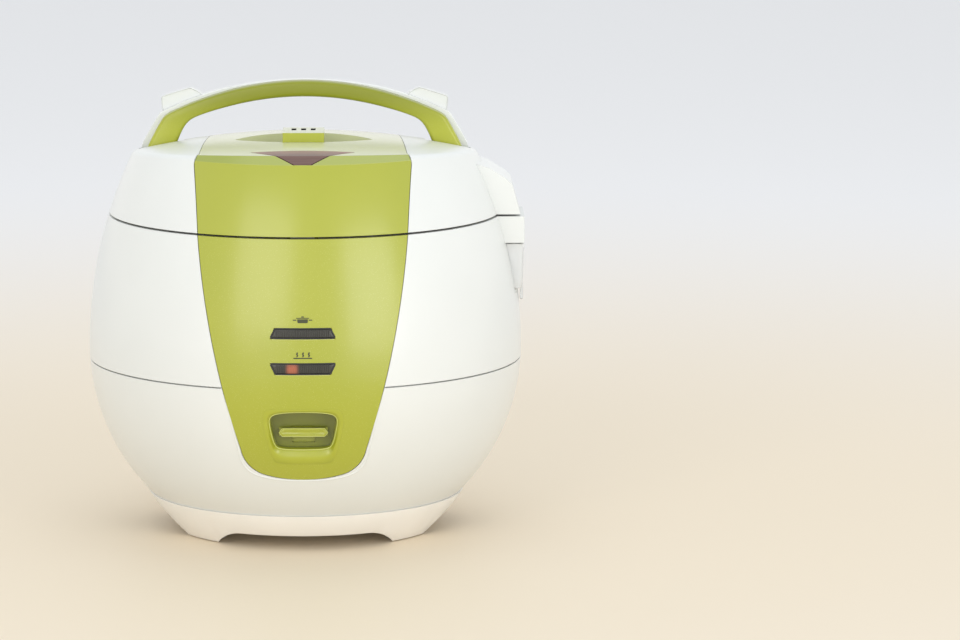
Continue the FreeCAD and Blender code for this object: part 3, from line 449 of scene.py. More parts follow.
def settle(piece):
    # makes the modifiers' result the piece's own plain mesh
    bpy.context.view_layer.update()
    graph = bpy.context.evaluated_depsgraph_get()
    mesh = bpy.data.meshes.new_from_object(piece.evaluated_get(graph))
    piece.modifiers.clear()
    piece.data = mesh


def soften(mesh, flat):
    # smooth shading, with edges steeper than flat degrees left sharp
    mesh.shade_smooth()
    mesh.set_sharp_from_angle(angle=math.radians(flat))
    return mesh


def workingCopy(mesh, reach):
    # points closer than reach become one
    source = bmesh.new()
    source.from_mesh(mesh)
    bmesh.ops.remove_doubles(source, verts=source.verts, dist=reach)
    return source


def asMesh(name, source):
    mesh = bpy.data.meshes.new(name)
    source.to_mesh(mesh)
    source.free()
    return mesh


cadWeld = 2e-6
softEdge = {"flat": 0.4, "segments": 3, "angle": 32}


def softCopy(node, name, finish, edge):
    # a copy of a CAD node with its edges rounded
    source = workingCopy(nodes[node].data, cadWeld)
    bmesh.ops.dissolve_limit(source, angle_limit=math.radians(softEdge["flat"]),
            verts=source.verts, edges=source.edges)
    mesh = asMesh(name, source)
    mesh.shade_smooth()
    piece = newObject(name, mesh)
    bevel = piece.modifiers.new("edges", "BEVEL")
    bevel.width = edge["width"]
    bevel.segments = softEdge["segments"]
    bevel.limit_method = "ANGLE"
    bevel.angle_limit = math.radians(softEdge["angle"])
    bevel.use_clamp_overlap = edge.get("clamp", False)
    bevel.harden_normals = True
    bevel.miter_outer = "MITER_ARC"
    settle(piece)
    finishPiece(piece, node, finish)


softEdges = {
    "rear_cover": ("hingeCover", "whiteShell", {"width": 0.0008}),
    "power_inlet": ("inletBlock", "blackMoulding", {"width": 0.0006}),
    "base_ring": ("baseRing", "whiteBase", {"width": 0.0006, "clamp": True}),
}
for node, (name, finish, edge) in softEdges.items():
    softCopy(node, name, finish, edge)
print("rounded copies:", len(softEdges))


# outlines and surfaces

def smoothed(points, rounds, closed=False):
    # corners cut again and again, which ends in a soft curve
    for _ in range(rounds):
        cutPoints = [] if closed else [points[0]]
        pairs = zip(points, points[1:] + points[:1]) if closed else zip(points, points[1:])
        for first, second in pairs:
            first, second = Vector(first), Vector(second)
            cutPoints += [first * 0.75 + second * 0.25, first * 0.25 + second * 0.75]
        if not closed:
            cutPoints.append(points[-1])
        points = [Vector(point) for point in cutPoints]
    return [Vector(point) for point in points]


def bothSides(half):
    # a half outline on the +X side, from the middle at the bottom to the middle at the top
    rest = [(-x, z) for x, z in reversed(half) if abs(x) > 1e-9]
    return list(half) + rest


retries = metres(((0, 0), (0, -0.6), (0, 0.6), (0.6, 0), (-0.6, 0), (0, -1.2), (0, 1.2)))


class Surface:
    # finds the front face of CAD nodes
    def __init__(self, *names):
        mesh = bmesh.new()
        for name in names:
            mesh.from_mesh(nodes[name].data)
        self.tree = BVHTree.FromBMesh(mesh)
        mesh.free()

    def front(self, x, z, lift=0.0):
        # a ray that slips through a narrow gap is tried again beside it
        for sideways, up in retries:
            start = Vector((x + sideways, -1, z + up))
            spot, normal, index, reach = self.tree.ray_cast(start, Vector((0, 1, 0)))
            if spot and spot.y < -0.1:
                return Vector((x, spot.y, z)) + normal * lift


def meshFrom(name, points, faces, flat=35):
    mesh = bpy.data.meshes.new(name)
    mesh.from_pydata([tuple(point) for point in points], [], faces)
    source = workingCopy(mesh, 1e-6)
    bmesh.ops.recalc_face_normals(source, faces=source.faces)
    source.to_mesh(mesh)
    source.free()
    return soften(mesh, flat)


def loftMesh(name, rings, caps=True, flat=35):
    points = [point for ring in rings for point in ring]
    count = len(rings[0])
    faces = []
    for i in range(len(rings) - 1):
        for j in range(count):
            k = (j + 1) % count
            faces.append((i * count + j, i * count + k, (i + 1) * count + k, (i + 1) * count + j))
    if caps:
        faces.append(tuple(range(count)))
        faces.append(tuple(range((len(rings) - 1) * count, len(rings) * count)))
    return meshFrom(name, points, faces, flat)


def joinMeshes(name, meshes, flat=35):
    whole = bmesh.new()
    for mesh in meshes:
        whole.from_mesh(mesh)
    return soften(asMesh(name, whole), flat)


def discMesh(name, centre, radius, ends, edge, sides=48):
    # a short round bar along X with rounded rims
    low, high = ends
    turns = [math.pi / 2 * step / 4 for step in range(4, -1, -1)]
    profile = [(low + edge * (1 - math.sin(turn)), radius - edge + edge * math.cos(turn)) for turn in turns]
    profile += [(high - (x - low), r) for x, r in reversed(profile)]
    rings = []
    for x, r in profile:
        rings.append([centre + Vector((x - centre.x, math.cos(a) * r, math.sin(a) * r))
                      for a in (math.tau * i / sides for i in range(sides))])
    return loftMesh(name, rings)


def cutAway(source, y, towards):
    # everything beyond y goes, and the cut is closed
    bmesh.ops.bisect_plane(source, geom=source.verts[:] + source.edges[:] + source.faces[:],
            plane_co=(0, y, 0), plane_no=(0, towards, 0), clear_outer=True)
    bmesh.ops.holes_fill(source, edges=[e for e in source.edges if e.is_boundary])


# handle: a green front half and a white back half, each a rounded bar that follows one arch

handle = metres({
    "frontOuter": ((94.6, 0), (94.6, 2), (93.6, 5), (86.6, 18.0), (84.2, 21.4), (80.0, 24.0),
                   (64, 30.9), (43, 37.6), (21.5, 41.6), (0, 43.0)),
    "backOuter": ((98.6, 0), (98.6, 2), (97.6, 5), (89.2, 19.6), (86.6, 23.2), (81.5, 25.6),
                  (66, 32.3), (44, 38.5), (22, 41.8), (0, 42.9)),
    "inner": ((77.6, 0), (77.5, 2), (77.0, 5), (72.6, 15.0), (68.5, 19.6), (61.5, 22.6),
              (50, 26.2), (33.5, 30.2), (16.7, 32.6), (0, 33.4)),
    "frontDepth": (-9.95, -0.05), "backDepth": (0.05, 9.95), "frontRounds": (2.4, 0.35), "backRounds": (0.35, 2.4),
    "footRadius": 9.2, "footEnds": (77.4, 91.2), "footEdge": 0.8,
    "pad": ((84.6, 21.5), (85.6, 23), (86.4, 31.4), (85.4, 32.4), (69.4, 37.4), (68.0, 37.2), (61.5, 33.8),
            (63, 32)),
})
padRings = ((0.0031, 0.94), (0.0024, 1.0), (0.0099, 1.0), (0.0099, 0.97))  # distance behind the pivot, scale


def archPaths(outer):
    paths = []
    for half in (outer, handle["inner"]):
        whole = list(half) + [(-x, z) for x, z in reversed(half[:-1])]
        paths.append(smoothed(whole, 4))
    return paths


def handleHalf(name, outer, depth, rounds, pivot):
    # rounds are the corner radii at the front and at the back
    low, high = depth
    rings = []
    for top, bottom in zip(*archPaths(outer)):
        across = top - bottom
        length = across.length
        direction = across / length
        corners = [(length, low, rounds[0], 0), (length, high, rounds[1], 1),
                   (0.0, high, rounds[1], 2), (0.0, low, rounds[0], 3)]
        ring = []
        for u, v, radius, turn in corners:
            insideU = u - radius if u > 0 else radius
            insideV = v + radius if v == low else v - radius
            for step in range(5):
                angle = math.pi / 2 * (step / 4 + turn) - math.pi / 2
                spot = bottom + direction * (insideU + radius * math.cos(angle))
                ring.append(Vector((spot.x, insideV + radius * math.sin(angle), spot.y)) + pivot)
        rings.append(ring)
    return loftMesh(name, rings, flat=40)


def makeHandle():
    pivot = Vector([j for j in frame["joints"] if j["name"] == "handle_fold"][0]["pos_m"])
    for node, name, finish, half in (("handle_grip", "gripFront", "greenHandle", "front"),
            ("handle_shell", "gripBack", "whiteShell", "back")):
        low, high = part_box(node)
        bar = handleHalf(name, handle[half + "Outer"], handle[half + "Depth"], handle[half + "Rounds"], pivot)
        feet = bmesh.new()
        for side in (-1, 1):
            ends = sorted(side * end for end in handle["footEnds"])
            feet.from_mesh(discMesh("foot", pivot, handle["footRadius"], ends, handle["footEdge"]))
        # each half keeps only its own side of the round feet
        front = half == "front"
        cutAway(feet, high.y if front else low.y, 1 if front else -1)
        meshes = [bar, asMesh("feet", feet)] + ([] if front else padMeshes(pivot))
        finishPiece(newObject(name, joinMeshes(name, meshes, 40)), node, finish)


def padMeshes(pivot):
    # a low raised pad on each shoulder of the back half
    outline = smoothed(handle["pad"], 1, True)
    centre = sum(outline, Vector((0, 0))) / len(outline)
    meshes = []
    for side in (-1, 1):
        rings = []
        for y, scale in padRings:
            ring = [centre + (point - centre) * scale for point in outline]
            rings.append([Vector((side * point.x, y, point.y)) + pivot for point in ring])
        meshes.append(loftMesh("pad", rings))
    return meshes


makeHandle()
print("handle ready")


# Geometry Nodes

def startTree(name, inputs):
    tree = bpy.data.node_groups.new(name, "GeometryNodeTree")
    tree.interface.new_socket("Geometry", in_out="INPUT", socket_type="NodeSocketGeometry")
    for label, kind in inputs.items():
        tree.interface.new_socket(label, in_out="INPUT", socket_type="NodeSocket" + kind)
    tree.interface.new_socket("Geometry", in_out="OUTPUT", socket_type="NodeSocketGeometry")
    graph = Graph(tree)
    start = tree.nodes.new("NodeGroupInput")
    graph.given = {socket.name: Value(graph, socket) for socket in start.outputs if socket.name}
    return tree, graph


def endTree(graph, geometry):
    real = graph.add("GeometryNodeRealizeInstances", {}, {"Geometry": geometry})
    painted = graph.add("GeometryNodeSetMaterial", {}, {"Geometry": real, "Material": graph.given["Material"]})
    graph.feed(graph.tree.nodes.new("NodeGroupOutput").inputs["Geometry"], painted)


def runTree(piece, tree, values):
    modifier = piece.modifiers.new(tree.name, "NODES")
    modifier.node_group = tree
    for item in tree.interface.items_tree:
        if item.in_out == "INPUT" and item.name in values:
            modifier[item.identifier] = values[item.name]
    settle(piece)


def ribRowTree():
    # a row of thin bars laid on the piece's own surface, between two points
    tree, graph = startTree("ribRow", {"From": "Vector", "To": "Vector", "Towards": "Vector",
            "Count": "Int", "Thickness": "Float", "Length": "Float",
            "Lean": "Vector", "Material": "Material"})
    given = graph.given
    line = graph.add("GeometryNodeMeshLine", {"mode": "END_POINTS"},
                     {"Count": given["Count"], "Start Location": given["From"], "Offset": given["To"]})
    hit = graph.add("GeometryNodeRaycast", {}, {"Target Geometry": given["Geometry"],
            "Ray Direction": given["Towards"], "Ray Length": 0.2},
                    out="Hit Position")
    onFace = graph.add("GeometryNodeSetPosition", {}, {"Geometry": line, "Position": hit})
    bar = graph.add("GeometryNodeMeshCylinder", {}, {"Vertices": 8, "Radius": given["Thickness"],
            "Depth": given["Length"]})
    bars = graph.add("GeometryNodeInstanceOnPoints", {}, {"Points": onFace, "Instance": bar,
            "Rotation": given["Lean"]})
    endTree(graph, graph.add("GeometryNodeJoinGeometry", {}, {0: [bars, given["Geometry"]]}))
    return tree


def screwSetTree():
    # a pan head with a cross recess at every point of the piece
    tree, graph = startTree("screwSet", {"Radius": "Float", "Height": "Float", "Shank": "Float",
            "Shank Length": "Float", "Material": "Material"})
    given = graph.given
    head = graph.add("GeometryNodeMeshCylinder", {}, {"Vertices": 32, "Radius": given["Radius"],
            "Depth": given["Height"]})
    blades = []
    for across, along in ((0.28, 1.25), (1.25, 0.28)):
        size = graph.add("ShaderNodeCombineXYZ", {}, {0: given["Radius"] * across, 1: given["Radius"] * along,
                2: given["Height"] * 1.1})
        bar = graph.add("GeometryNodeMeshCube", {}, {"Size": size})
        down = graph.add("ShaderNodeCombineXYZ", {}, {2: given["Height"] * -0.55})
        blades.append(graph.add("GeometryNodeTransform", {}, {"Geometry": bar, "Translation": down}))
    cutHead = graph.add("GeometryNodeMeshBoolean", {"operation": "DIFFERENCE"}, {"Mesh 1": head, "Mesh 2": blades})
    shank = graph.add("GeometryNodeMeshCylinder", {}, {"Vertices": 20, "Radius": given["Shank"],
            "Depth": given["Shank Length"]})
    lift = graph.add("ShaderNodeCombineXYZ", {}, {2: (given["Shank Length"] + given["Height"]) * 0.5 - 0.0001})
    shank = graph.add("GeometryNodeTransform", {}, {"Geometry": shank, "Translation": lift})
    whole = graph.add("GeometryNodeJoinGeometry", {}, {0: [shank, cutHead]})
    screws = graph.add("GeometryNodeInstanceOnPoints", {}, {"Points": given["Geometry"], "Instance": whole})
    endTree(graph, screws)
    return tree


ribRow = ribRowTree()
screwSet = screwSetTree()


# indicator windows: a smoked bar with upright ribs in a raised rim

windows = {
    "cook_lens": {"name": "cookWindow", "finish": "cookLens", "low": 0.0188, "high": 0.0164},
    "warm_lens": {"name": "warmWindow", "finish": "warmLens", "low": 0.0162, "high": 0.0188},
}
windowSize = metres({
    "gap": 0.12, "trim": 0.1, "inset": 0.2, "edgeSunk": 0.6, "faceSunk": 0.15, "wall": 1.2, "corner": 0.8,
    "ribThickness": 0.42, "border": 0.9, "leanFrom": 1.0, "gasket": 0.5, "gasketSunk": 0.34,
    "lineBelow": 0.75, "lineTrim": 0.6, "lineHigh": 0.2, "line": 0.22, "lineSunk": 0.1,
})
windowRibs = 30


def makeWindow(node, window):
    face = Surface(node)
    low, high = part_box(node)
    bottom, top = low.z + windowSize["gap"], high.z - windowSize["gap"]
    lowHalf, highHalf = window["low"] - windowSize["trim"], window["high"] - windowSize["trim"]
    rows, columns = 6, 40
    points, faces = [], []
    for i in range(rows + 1):
        z = bottom + (top - bottom) * i / rows
        half = lowHalf + (highHalf - lowHalf) * i / rows
        for j in range(columns + 1):
            x = -half + 2 * half * j / columns
            edge = min(i, rows - i) == 0 or min(j, columns - j) == 0
            spot = face.front(x * 0.995, min(max(z, bottom + windowSize["inset"]), top - windowSize["inset"]))
            points.append(Vector((x, spot.y + windowSize["edgeSunk" if edge else "faceSunk"], z)))
    for i in range(rows):
        for j in range(columns):
            k = i * (columns + 1) + j
            faces.append((k, k + 1, k + columns + 2, k + columns + 1))
    plate = newObject(window["name"], meshFrom(window["name"], points, faces, 60))
    thick = plate.modifiers.new("wall", "SOLIDIFY")
    thick.thickness = windowSize["wall"]
    thick.offset = -1
    settle(plate)
    border, step = windowSize["border"], windowSize["leanFrom"]
    centre = (bottom + top) / 2
    half = min(lowHalf, highHalf) - border
    slope = face.front(0, top - step).y - face.front(0, bottom + step).y
    lean = math.atan2(slope, top - bottom - 2 * step)
    runTree(plate, ribRow, {
        "From": (-half, -0.2, centre), "To": (half, -0.2, centre), "Towards": (0, 1, 0),
        "Count": windowRibs, "Thickness": windowSize["ribThickness"],
        "Length": top - bottom - 2 * border, "Lean": (-lean, 0, 0), "Material": made[window["finish"]]})
    plate.data.set_sharp_from_angle(angle=math.radians(50))
    finishPiece(plate, node, window["finish"])
    # a black gasket round the bar, with a thin bead on the panel under it, lighter green as a painted highlight
    corner = windowSize["corner"]
    outline = bothSides([
        (0, bottom), (lowHalf - corner, bottom), (lowHalf * 0.97 + highHalf * 0.03, bottom + corner),
        (highHalf, top - corner), (highHalf - corner, top), (0, top)])
    surfaceBead(window["name"] + "Gasket", outline, windowSize["gasket"], "blackMoulding",
                Surface("front_panel", node), windowSize["gasketSunk"])
    below, half = bottom - windowSize["lineBelow"], lowHalf - windowSize["lineTrim"]
    above = below + windowSize["lineHigh"]
    surfaceBead(window["name"] + "Edge", bothSides([(0, below), (half, below), (half, above), (0, above)]),
                windowSize["line"], "edgeHighlight", Surface("front_panel"), windowSize["lineSunk"])


beadStep = 0.0012


def surfaceBead(name, outline, radius, finish, face, sunk):
    # a thin round bead along a closed outline on the front surface
    dense = []
    for first, second in zip(outline, outline[1:] + outline[:1]):
        first, second = Vector(first), Vector(second)
        steps = max(1, int((second - first).length / beadStep))
        dense += [first.lerp(second, step / steps) for step in range(steps)]
    spots = [face.front(point.x, point.y) + Vector((0, sunk, 0)) for point in dense]
    beadAlong(name, spots, radius, finish, "housing")


def beadAlong(name, spots, radius, finish, body, closed=True):
    # an open bead thins out towards its ends
    rings = []
    count = len(spots)
    for i, spot in enumerate(spots):
        ends = min(i, count - 1 - i)
        before = spots[i - 1] if closed or i else spot
        after = spots[(i + 1) % count] if closed or ends or not i else spot
        along = (after - before).normalized()
        thick = radius if closed else radius * min(1, 0.1 + ends / 16)
        side = along.cross(Vector((0, 1, 0))).normalized()
        out = side.cross(along).normalized()
        rings.append([spot + (side * math.cos(a) + out * math.sin(a)) * thick
                      for a in (math.tau * k / 10 for k in range(10))])
    if closed:
        rings.append(rings[0])
    piece = newObject(name, loftMesh(name, rings, caps=not closed, flat=80))
    piece.data.materials.append(made[finish])
    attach(piece, body)


for node, window in windows.items():
    makeWindow(node, window)
print("windows ready")


# the housing's rounded lip round the panel's lower end

panelLip = metres({
    "half": ((48.2, 106), (43.0, 87), (40.2, 76), (37.7, 66.6), (36.3, 58.5), (31.5, 52.2), (23.5, 49.2),
             (11, 47.3)),
    "radius": 0.95, "sunk": 0.72,
})


def makePanelLip():
    right = list(panelLip["half"])
    path = smoothed(right + [(-x, z) for x, z in reversed(right)], 3)
    face = Surface("lower_housing", "front_panel", "upper_housing")
    spots = [face.front(p.x, p.y) + Vector((0, panelLip["sunk"], 0)) for p in path]
    beadAlong("panelLip", spots, panelLip["radius"], "whiteShell", "housing", False)


makePanelLip()


# printed marks over the windows: a pot for cooking, rising heat for keeping warm

markShapes = {
    "cookMark": {"at": 144.7, "strokes": [
        [(-2.6, -1.9), (2.6, -1.9), (3.0, -1.4), (3.1, 0.3), (-3.1, 0.3), (-3.0, -1.4)],
        [(-3.7, 0.65), (3.7, 0.65), (3.7, 1.15), (-3.7, 1.15)],
        [(-0.9, 1.35), (0.9, 1.35), (0.6, 2.0), (-0.6, 2.0)],
        [(-5.6, -0.5), (-3.6, -0.5), (-3.6, 0.1), (-5.6, 0.1)],
        [(3.6, -0.5), (5.6, -0.5), (5.6, 0.1), (3.6, 0.1)]]},
    "warmMark": {"at": 124.0, "strokes": [[(-5.4, -1.9), (5.4, -1.9), (5.4, -1.2), (-5.4, -1.2)]] + [
        [(x - 0.45, -0.8), (x + 0.35, -0.8), (x + 0.9, 0.0), (x + 0.4, 0.8), (x + 0.8, 1.9), (x, 1.9),
         (x - 0.5, 0.8), (x, 0.0)] for x in (-3.4, 0.0, 3.4)]},
}
markOver, markThick = 0.13, 0.2


def makeMarks():
    face = Surface("front_panel")
    material, graph = startMaterial("darkPrint", {"IOR": 1.45})
    grain = graph.noise(0.0005, 2.0)
    graph.paint({"Base Color": graph.blend(grain, (0.045, 0.05, 0.02), (0.07, 0.075, 0.03)),
                 "Roughness": grain * 0.1 + 0.3})
    for name, mark in markShapes.items():
        meshes = []
        for stroke in mark["strokes"]:
            rings = [[face.front(*metres((x, z + mark["at"], lift))) for x, z in stroke]
                     for lift in (markOver, markOver - markThick)]
            meshes.append(loftMesh("stroke", rings))
        piece = newObject(name, joinMeshes(name, meshes))
        piece.data.materials.append(material)
        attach(piece, "housing")


makeMarks()
print("marks ready")


# lever recess and key

leverRecess = metres({
    "edge": ((0, 58.75), (14, 58.75), (17.5, 61.5), (22.5, 80), (22.5, 88.5), (19.4, 91.5), (10, 91.55),
             (0, 91.55)),
    "brim": ((0, 61.6), (13.2, 61.7), (17, 64.6), (21.5, 80.5), (21.6, 86.8), (18.6, 90.2), (10, 91), (0, 91.1)),
    "lip": ((0, 66.6), (13.4, 66.9), (17.2, 69.2), (19.8, 82), (19.9, 86.2), (17.2, 88.9), (9, 90.1), (0, 90.3)),
    "deep": ((0, 67.4), (12.9, 67.6), (16.5, 69.8), (18.9, 82), (19.0, 85.8), (16.6, 88.4), (9, 89.5), (0, 89.7)),
    "slot": ((0, 69.8), (6.6, 69.8), (6.8, 70.0), (6.8, 79.4), (6.6, 79.6), (0, 79.6)),
    "lipDepth": (3.8, 1.4), "backWall": -111.5, "bulge": 110, "bodyRadius": 130, "lowerArc": 125,
    "centre": (0, 75.2), "lapOuter": (0.1, -0.05), "lapInner": -0.07, "brimLift": -0.02, "skirt": 6.0,
    "wall": 1.6, "behind": -4.0, "bead": 0.32,
})
recessLap = 1.045


def leverRing(name):
    return smoothed(bothSides(leverRecess[name]), 1 if name == "edge" else 3, True)


def resampled(points, count):
    # evenly spaced points on a closed outline, from its lowest point in the middle
    lengths = [0.0]
    for first, second in zip(points, points[1:] + points[:1]):
        lengths.append(lengths[-1] + (second - first).length)
    result = []
    for i in range(count):
        goal = lengths[-1] * i / count
        k = max(j for j in range(len(points)) if lengths[j] <= goal + 1e-12)
        share = (goal - lengths[k]) / max(lengths[k + 1] - lengths[k], 1e-12)
        result.append(points[k].lerp(points[(k + 1) % len(points)], share))
    return result


def makeLeverRecess():
    size = leverRecess
    plans = {name: resampled(leverRing(name), 120) for name in ("edge", "brim", "lip", "deep", "slot")}
    axisY = potAxis.y
    backWall = size["backWall"] + axisY

    def faceAt(point):
        # the round front below the housing's widest height
        rise = point.y - size["bulge"]
        arc = size["lowerArc"]
        radius = (size["bodyRadius"] - arc) + math.sqrt(arc * arc - rise * rise)
        return axisY - math.sqrt(radius * radius - point.x * point.x)

    def onFace(plan, depth):
        return [Vector((p.x, faceAt(p) + depth, p.y)) for p in plan]

    low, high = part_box("lever_well")
    # its edge laps over the joint with the panel by up to a millimetre
    centre = Vector(size["centre"])
    lapped = [centre + (p - centre) * recessLap for p in plans["edge"]]
    under, over = size["lapOuter"]
    rings = [onFace(plans["edge"], size["skirt"]), onFace(plans["edge"], under), onFace(lapped, under),
             onFace(lapped, over), onFace(plans["edge"], size["lapInner"]), onFace(plans["brim"], size["brimLift"])]
    for share in (0.35, 0.7, 1.0):
        ring = []
        for outer, inner in zip(plans["brim"], plans["lip"]):
            point = outer.lerp(inner, share)
            rise = min(max((point.y - low.z) / (high.z - low.z), 0), 1)
            depth = size["lipDepth"][0] * (1 - rise) + size["lipDepth"][1] * rise
            ring.append(Vector((point.x, faceAt(point) + depth * share ** 1.3, point.y)))
        rings.append(ring)
    brimEnd = rings[-1]
    for share in (0.06, 0.14, 0.9, 1.0):
        ring = []
        for lip, inner, before in zip(plans["lip"], plans["deep"], brimEnd):
            point = lip.lerp(inner, min(share * 5, 1.0))
            ring.append(Vector((point.x, before.y + (backWall - before.y) * share, point.y)))
        rings.append(ring)
    # the back wall ends at the slot for the key's stem, and the piece closes behind it
    for y, plan in ((0.0, "slot"), (size["wall"], "slot"), (size["wall"], "deep"), (size["behind"], "edge")):
        rings.append([Vector((p.x, backWall + y, p.y)) for p in plans[plan]])
    rings.append(rings[0])
    mesh = loftMesh("keyRecess", rings, caps=False, flat=50)
    finishPiece(newObject("keyRecess", mesh), "lever_well", "wellGreen")
    # the bead along the recess lip is lighter green as a painted highlight
    beadAlong("recessLip", brimEnd, size["bead"], "edgeHighlight", "housing")


keySize = metres({
    "half": 14.5, "tall": 4.9, "corner": 1.8, "back": 4.0, "stemFrom": 3.5, "bead": 0.28,
    "steps": ((1.2, 0.0), (0.5, 0.2), (0.1, 0.6), (0.0, 0.9), (0.1, 1.25), (0.35, 1.4)),
    "shieldHalf": 8.5, "shieldLow": 65.5, "shieldHigh": 84.5,
    "shieldSteps": ((1.9, 0.3), (2.1, 0.0), (2.9, 0.0)),
})


def makeKey():
    low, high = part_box("cook_key")
    half, tall, corner = keySize["half"], keySize["tall"], keySize["corner"]
    centreZ = (2 * high.z - tall) / 2
    outline = [(-half + corner, -tall / 2), (half - corner, -tall / 2), (half, 0), (half - corner, tall / 2),
               (-half + corner, tall / 2), (-half, 0)]
    front = low.y
    rings = []
    for y, shrink in ((keySize["back"], 0.0),) + keySize["steps"]:
        ring = []
        for x, z in outline:
            signX, signZ = (x > 0) - (x < 0), (z > 0) - (z < 0)
            ring.append(Vector((x - signX * shrink * 1.3, front + y, centreZ + z - signZ * shrink)))
        rings.append(ring)
    bar = loftMesh("bar", rings, flat=30)
    # a plate behind the slot that travels with the key and keeps crumbs out
    wall = leverRecess["backWall"] + potAxis.y
    under, over = keySize["shieldLow"], keySize["shieldHigh"]
    shield = [[Vector((side * (keySize["shieldHalf"] - trim), wall + y, z))
               for side, z in ((-1, under), (1, under), (1, over), (-1, over))]
              for y, trim in keySize["shieldSteps"]]
    stem = workingCopy(nodes["cook_key"].data, cadWeld)
    cutAway(stem, front + keySize["stemFrom"], -1)
    whole = joinMeshes("keyBar", [bar, asMesh("stem", stem), loftMesh("shield", shield)], 30)
    finishPiece(newObject("keyBar", whole), "cook_key", "greenPanel")
    # a bead round the key, lighter green as a painted highlight
    beadAlong("keyRim", rings[2], keySize["bead"], "edgeHighlight", "cook_key")


makeLeverRecess()
makeKey()
print("lever ready")


# dew cup: clear, ribbed down its outer face

dewCup = metres({
    "ribThickness": 0.5, "wall": 1.5, "corner": 2.5, "bottomUp": 8.6, "lean": 1.2, "gap": 0.5, "rimEdge": 0.3,
    "footRings": ((0.0, 1.2), (0.3, 0.4), (1.2, 0.0)), "ribEnds": 4.0, "ribTrim": 6.0,
    "tab": (129.3, 130.9), "tabTip": ((0.0, 3.2), (0.6, 4.2)), "tabHalf": 5.0, "tabInto": 1.0,
})
cupRibs = 13


def makeDewCup():
    low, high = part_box("dew_cup")
    bottom = low.z + dewCup["bottomUp"]
    corner, wall, lean, edge = dewCup["corner"], dewCup["wall"], dewCup["lean"], dewCup["rimEdge"]

    def ring(z, inset):
        rise = (z - bottom) / (high.z - bottom)
        front, back = low.y + inset, high.y - inset
        inner, outer = low.x + inset, high.x - lean * (1 - rise) - inset - dewCup["gap"]
        points = []
        for x, y, turn in ((outer, back, 0), (inner, back, 1), (inner, front, 2), (outer, front, 3)):
            for step in range(6):
                angle = math.pi / 2 * (turn + step / 5)
                cx = x - corner if x == outer else x + corner
                cy = y - corner if y == back else y + corner
                points.append(Vector((cx + corner * math.cos(angle), cy + corner * math.sin(angle), z)))
        return points

    rings = [ring(bottom + rise, inset) for rise, inset in dewCup["footRings"]]
    rings += [ring(bottom + (high.z - bottom) * share, 0.0) for share in (0.3, 0.6, 0.9)]
    rings += [ring(high.z - edge, 0.0), ring(high.z, edge), ring(high.z, wall - edge), ring(high.z - edge, wall)]
    rings += [ring(bottom + wall + (high.z - bottom) * share, wall) for share in (0.6, 0.3, 0.0)]
    cup = loftMesh("cup", rings, flat=40)
    tip = [(low.z + rise, half) for rise, half in dewCup["tabTip"]]
    near, far = dewCup["tab"]
    y = (low.y + high.y) / 2
    tabRings = []
    for z, half in tip + [(bottom, dewCup["tabHalf"]), (bottom + dewCup["tabInto"], dewCup["tabHalf"])]:
        tabRings.append([Vector((x, y + side * half, z))
                         for x, side in ((near, -1), (far, -1), (far, 1), (near, 1))])
    piece = newObject("dewCup", joinMeshes("dewCup", [cup, loftMesh("tab", tabRings)], 40))
    centreZ, inFrom = (bottom + high.z) / 2, dewCup["ribEnds"]
    runTree(piece, ribRow, {
        "From": (0.2, low.y + inFrom, centreZ), "To": (0.2, high.y - inFrom, centreZ),
        "Towards": (-1, 0, 0), "Count": cupRibs, "Thickness": dewCup["ribThickness"],
        "Length": high.z - bottom - dewCup["ribTrim"], "Lean": (0, math.atan2(lean, high.z - bottom), 0),
        "Material": made["clearCup"]})
    finishPiece(piece, "dew_cup", "clearCup")


makeDewCup()


# screws

screwSets = {
    "base_screws": {"name": "baseScrews", "turns": (5, 95, 185, 275),
                    **metres({"radius": 3.0, "height": 1.5, "shank": 1.5, "reach": 76})},
    "lid_screws": {"name": "lidScrews", "turns": (20, 160, 215, 325),
                   **metres({"radius": 2.6, "height": 0.34, "shank": 1.5, "reach": 98})},
}
screwLift = 0.00002


def makeScrews(node, screw):
    low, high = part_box(node)
    points = []
    for turn in screw["turns"]:
        angle = math.radians(turn)
        spot = potAxis + Vector((math.cos(angle), math.sin(angle), 0)) * screw["reach"]
        points.append((spot.x, spot.y, low.z + screw["height"] / 2 + screwLift))
    mesh = bpy.data.meshes.new(screw["name"])
    mesh.from_pydata(points, [], [])
    piece = newObject(screw["name"], mesh)
    runTree(piece, screwSet, {"Radius": screw["radius"], "Height": screw["height"], "Shank": screw["shank"],
            "Shank Length": high.z - low.z - screw["height"], "Material": made["platedSteel"]})
    soften(piece.data, 35)
    finishPiece(piece, node, "platedSteel")


for node, screw in screwSets.items():
    makeScrews(node, screw)
print("cup and screws ready")


# floor, light and camera

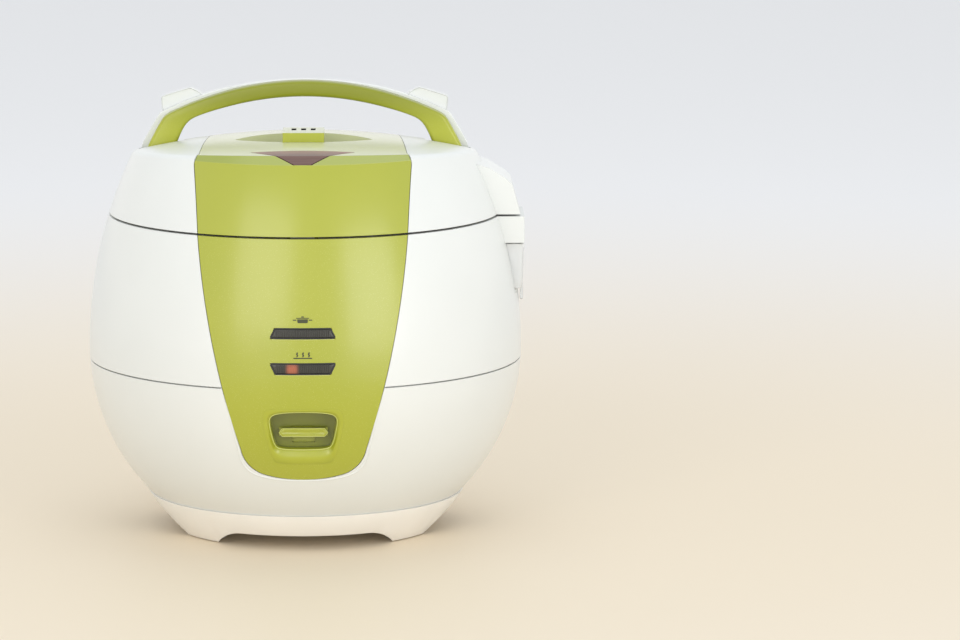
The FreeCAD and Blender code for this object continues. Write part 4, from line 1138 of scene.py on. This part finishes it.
studio = {
    "floorSize": 14.0, "floorBlend": (0.25, 1.6), "floorNear": (0.82, 0.71, 0.55), "floorFar": (0.86, 0.85, 0.85),
    "skyLow": (1.0, 0.99, 0.98), "skyHigh": (0.76, 0.80, 0.84), "skyPower": 1.04, "skyBlend": (0.1, 0.8),
    "lamps": {
        "keyLamp": {"at": (-0.9, -2.2, 0.9), "size": (1.3, 1.6), "power": 13, "tint": (1.0, 0.98, 0.95)},
        "fillLamp": {"at": (1.4, -1.9, 0.55), "size": (1.2, 1.5), "power": 14, "tint": (0.98, 0.99, 1.0)},
        "topLamp": {"at": (0.1, 0.5, 1.9), "size": (1.4, 1.4), "power": 5, "tint": (1.0, 1.0, 1.0)},
    },
    "aim": (0, 0, 0.13),
    "cameraReach": 3.0, "cameraHeight": 0.608, "cameraSide": 0.8, "cameraDown": 9.17, "cameraTurn": -1.21,
    "lens": 188.7,
}


def makeStudio():
    half = studio["floorSize"] / 2
    mesh = bpy.data.meshes.new("floor")
    mesh.from_pydata([(-half, -half, 0), (half, -half, 0), (half, half, 0), (-half, half, 0)], [],
                     [(0, 1, 2, 3)])
    floor = newObject("floor", mesh)
    material, graph = startMaterial("paleFloor", {"Roughness": 0.55, "Specular IOR Level": 0.3})
    x, y, z = graph.parts()
    reach = graph.steps((x * x + y * y) ** 0.5, *studio["floorBlend"])
    graph.paint({"Base Color": graph.blend(reach, studio["floorNear"], studio["floorFar"])})
    mesh.materials.append(material)
    world = bpy.data.worlds.new("studioSky")
    bpy.context.scene.world = world
    world.use_nodes = True
    graph = Graph(world.node_tree)
    place = graph.add("ShaderNodeTexCoord", out="Generated")
    split = graph.add("ShaderNodeSeparateXYZ", {}, {0: place}, out="Z")
    graph.shader = world.node_tree.nodes["Background"]
    graph.paint({"Color": graph.blend(graph.steps(split, *studio["skyBlend"]), studio["skyLow"], studio["skyHigh"]),
                 "Strength": studio["skyPower"]})
    for name, lamp in studio["lamps"].items():
        light = bpy.data.lights.new(name, "AREA")
        light.shape = "RECTANGLE"
        light.size, light.size_y = lamp["size"]
        light.energy = lamp["power"]
        light.color = lamp["tint"]
        item = newObject(name, light)
        item.visible_camera = False
        item.location = lamp["at"]
        item.rotation_euler = (Vector(studio["aim"]) - item.location).to_track_quat("-Z", "Y").to_euler()
    view = bpy.data.cameras.new("camera")
    view.lens = studio["lens"]
    view.sensor_width = 36
    view.clip_end = 50
    camera = newObject("camera", view)
    side = math.radians(studio["cameraSide"])
    camera.location = potAxis + Vector((math.sin(side) * studio["cameraReach"],
            -math.cos(side) * studio["cameraReach"], studio["cameraHeight"]))
    camera.rotation_euler = (math.radians(90 - studio["cameraDown"]), 0, math.radians(studio["cameraTurn"]))
    bpy.context.scene.camera = camera
    bpy.context.scene.view_settings.view_transform = "Standard"


makeStudio()
print("studio ready")
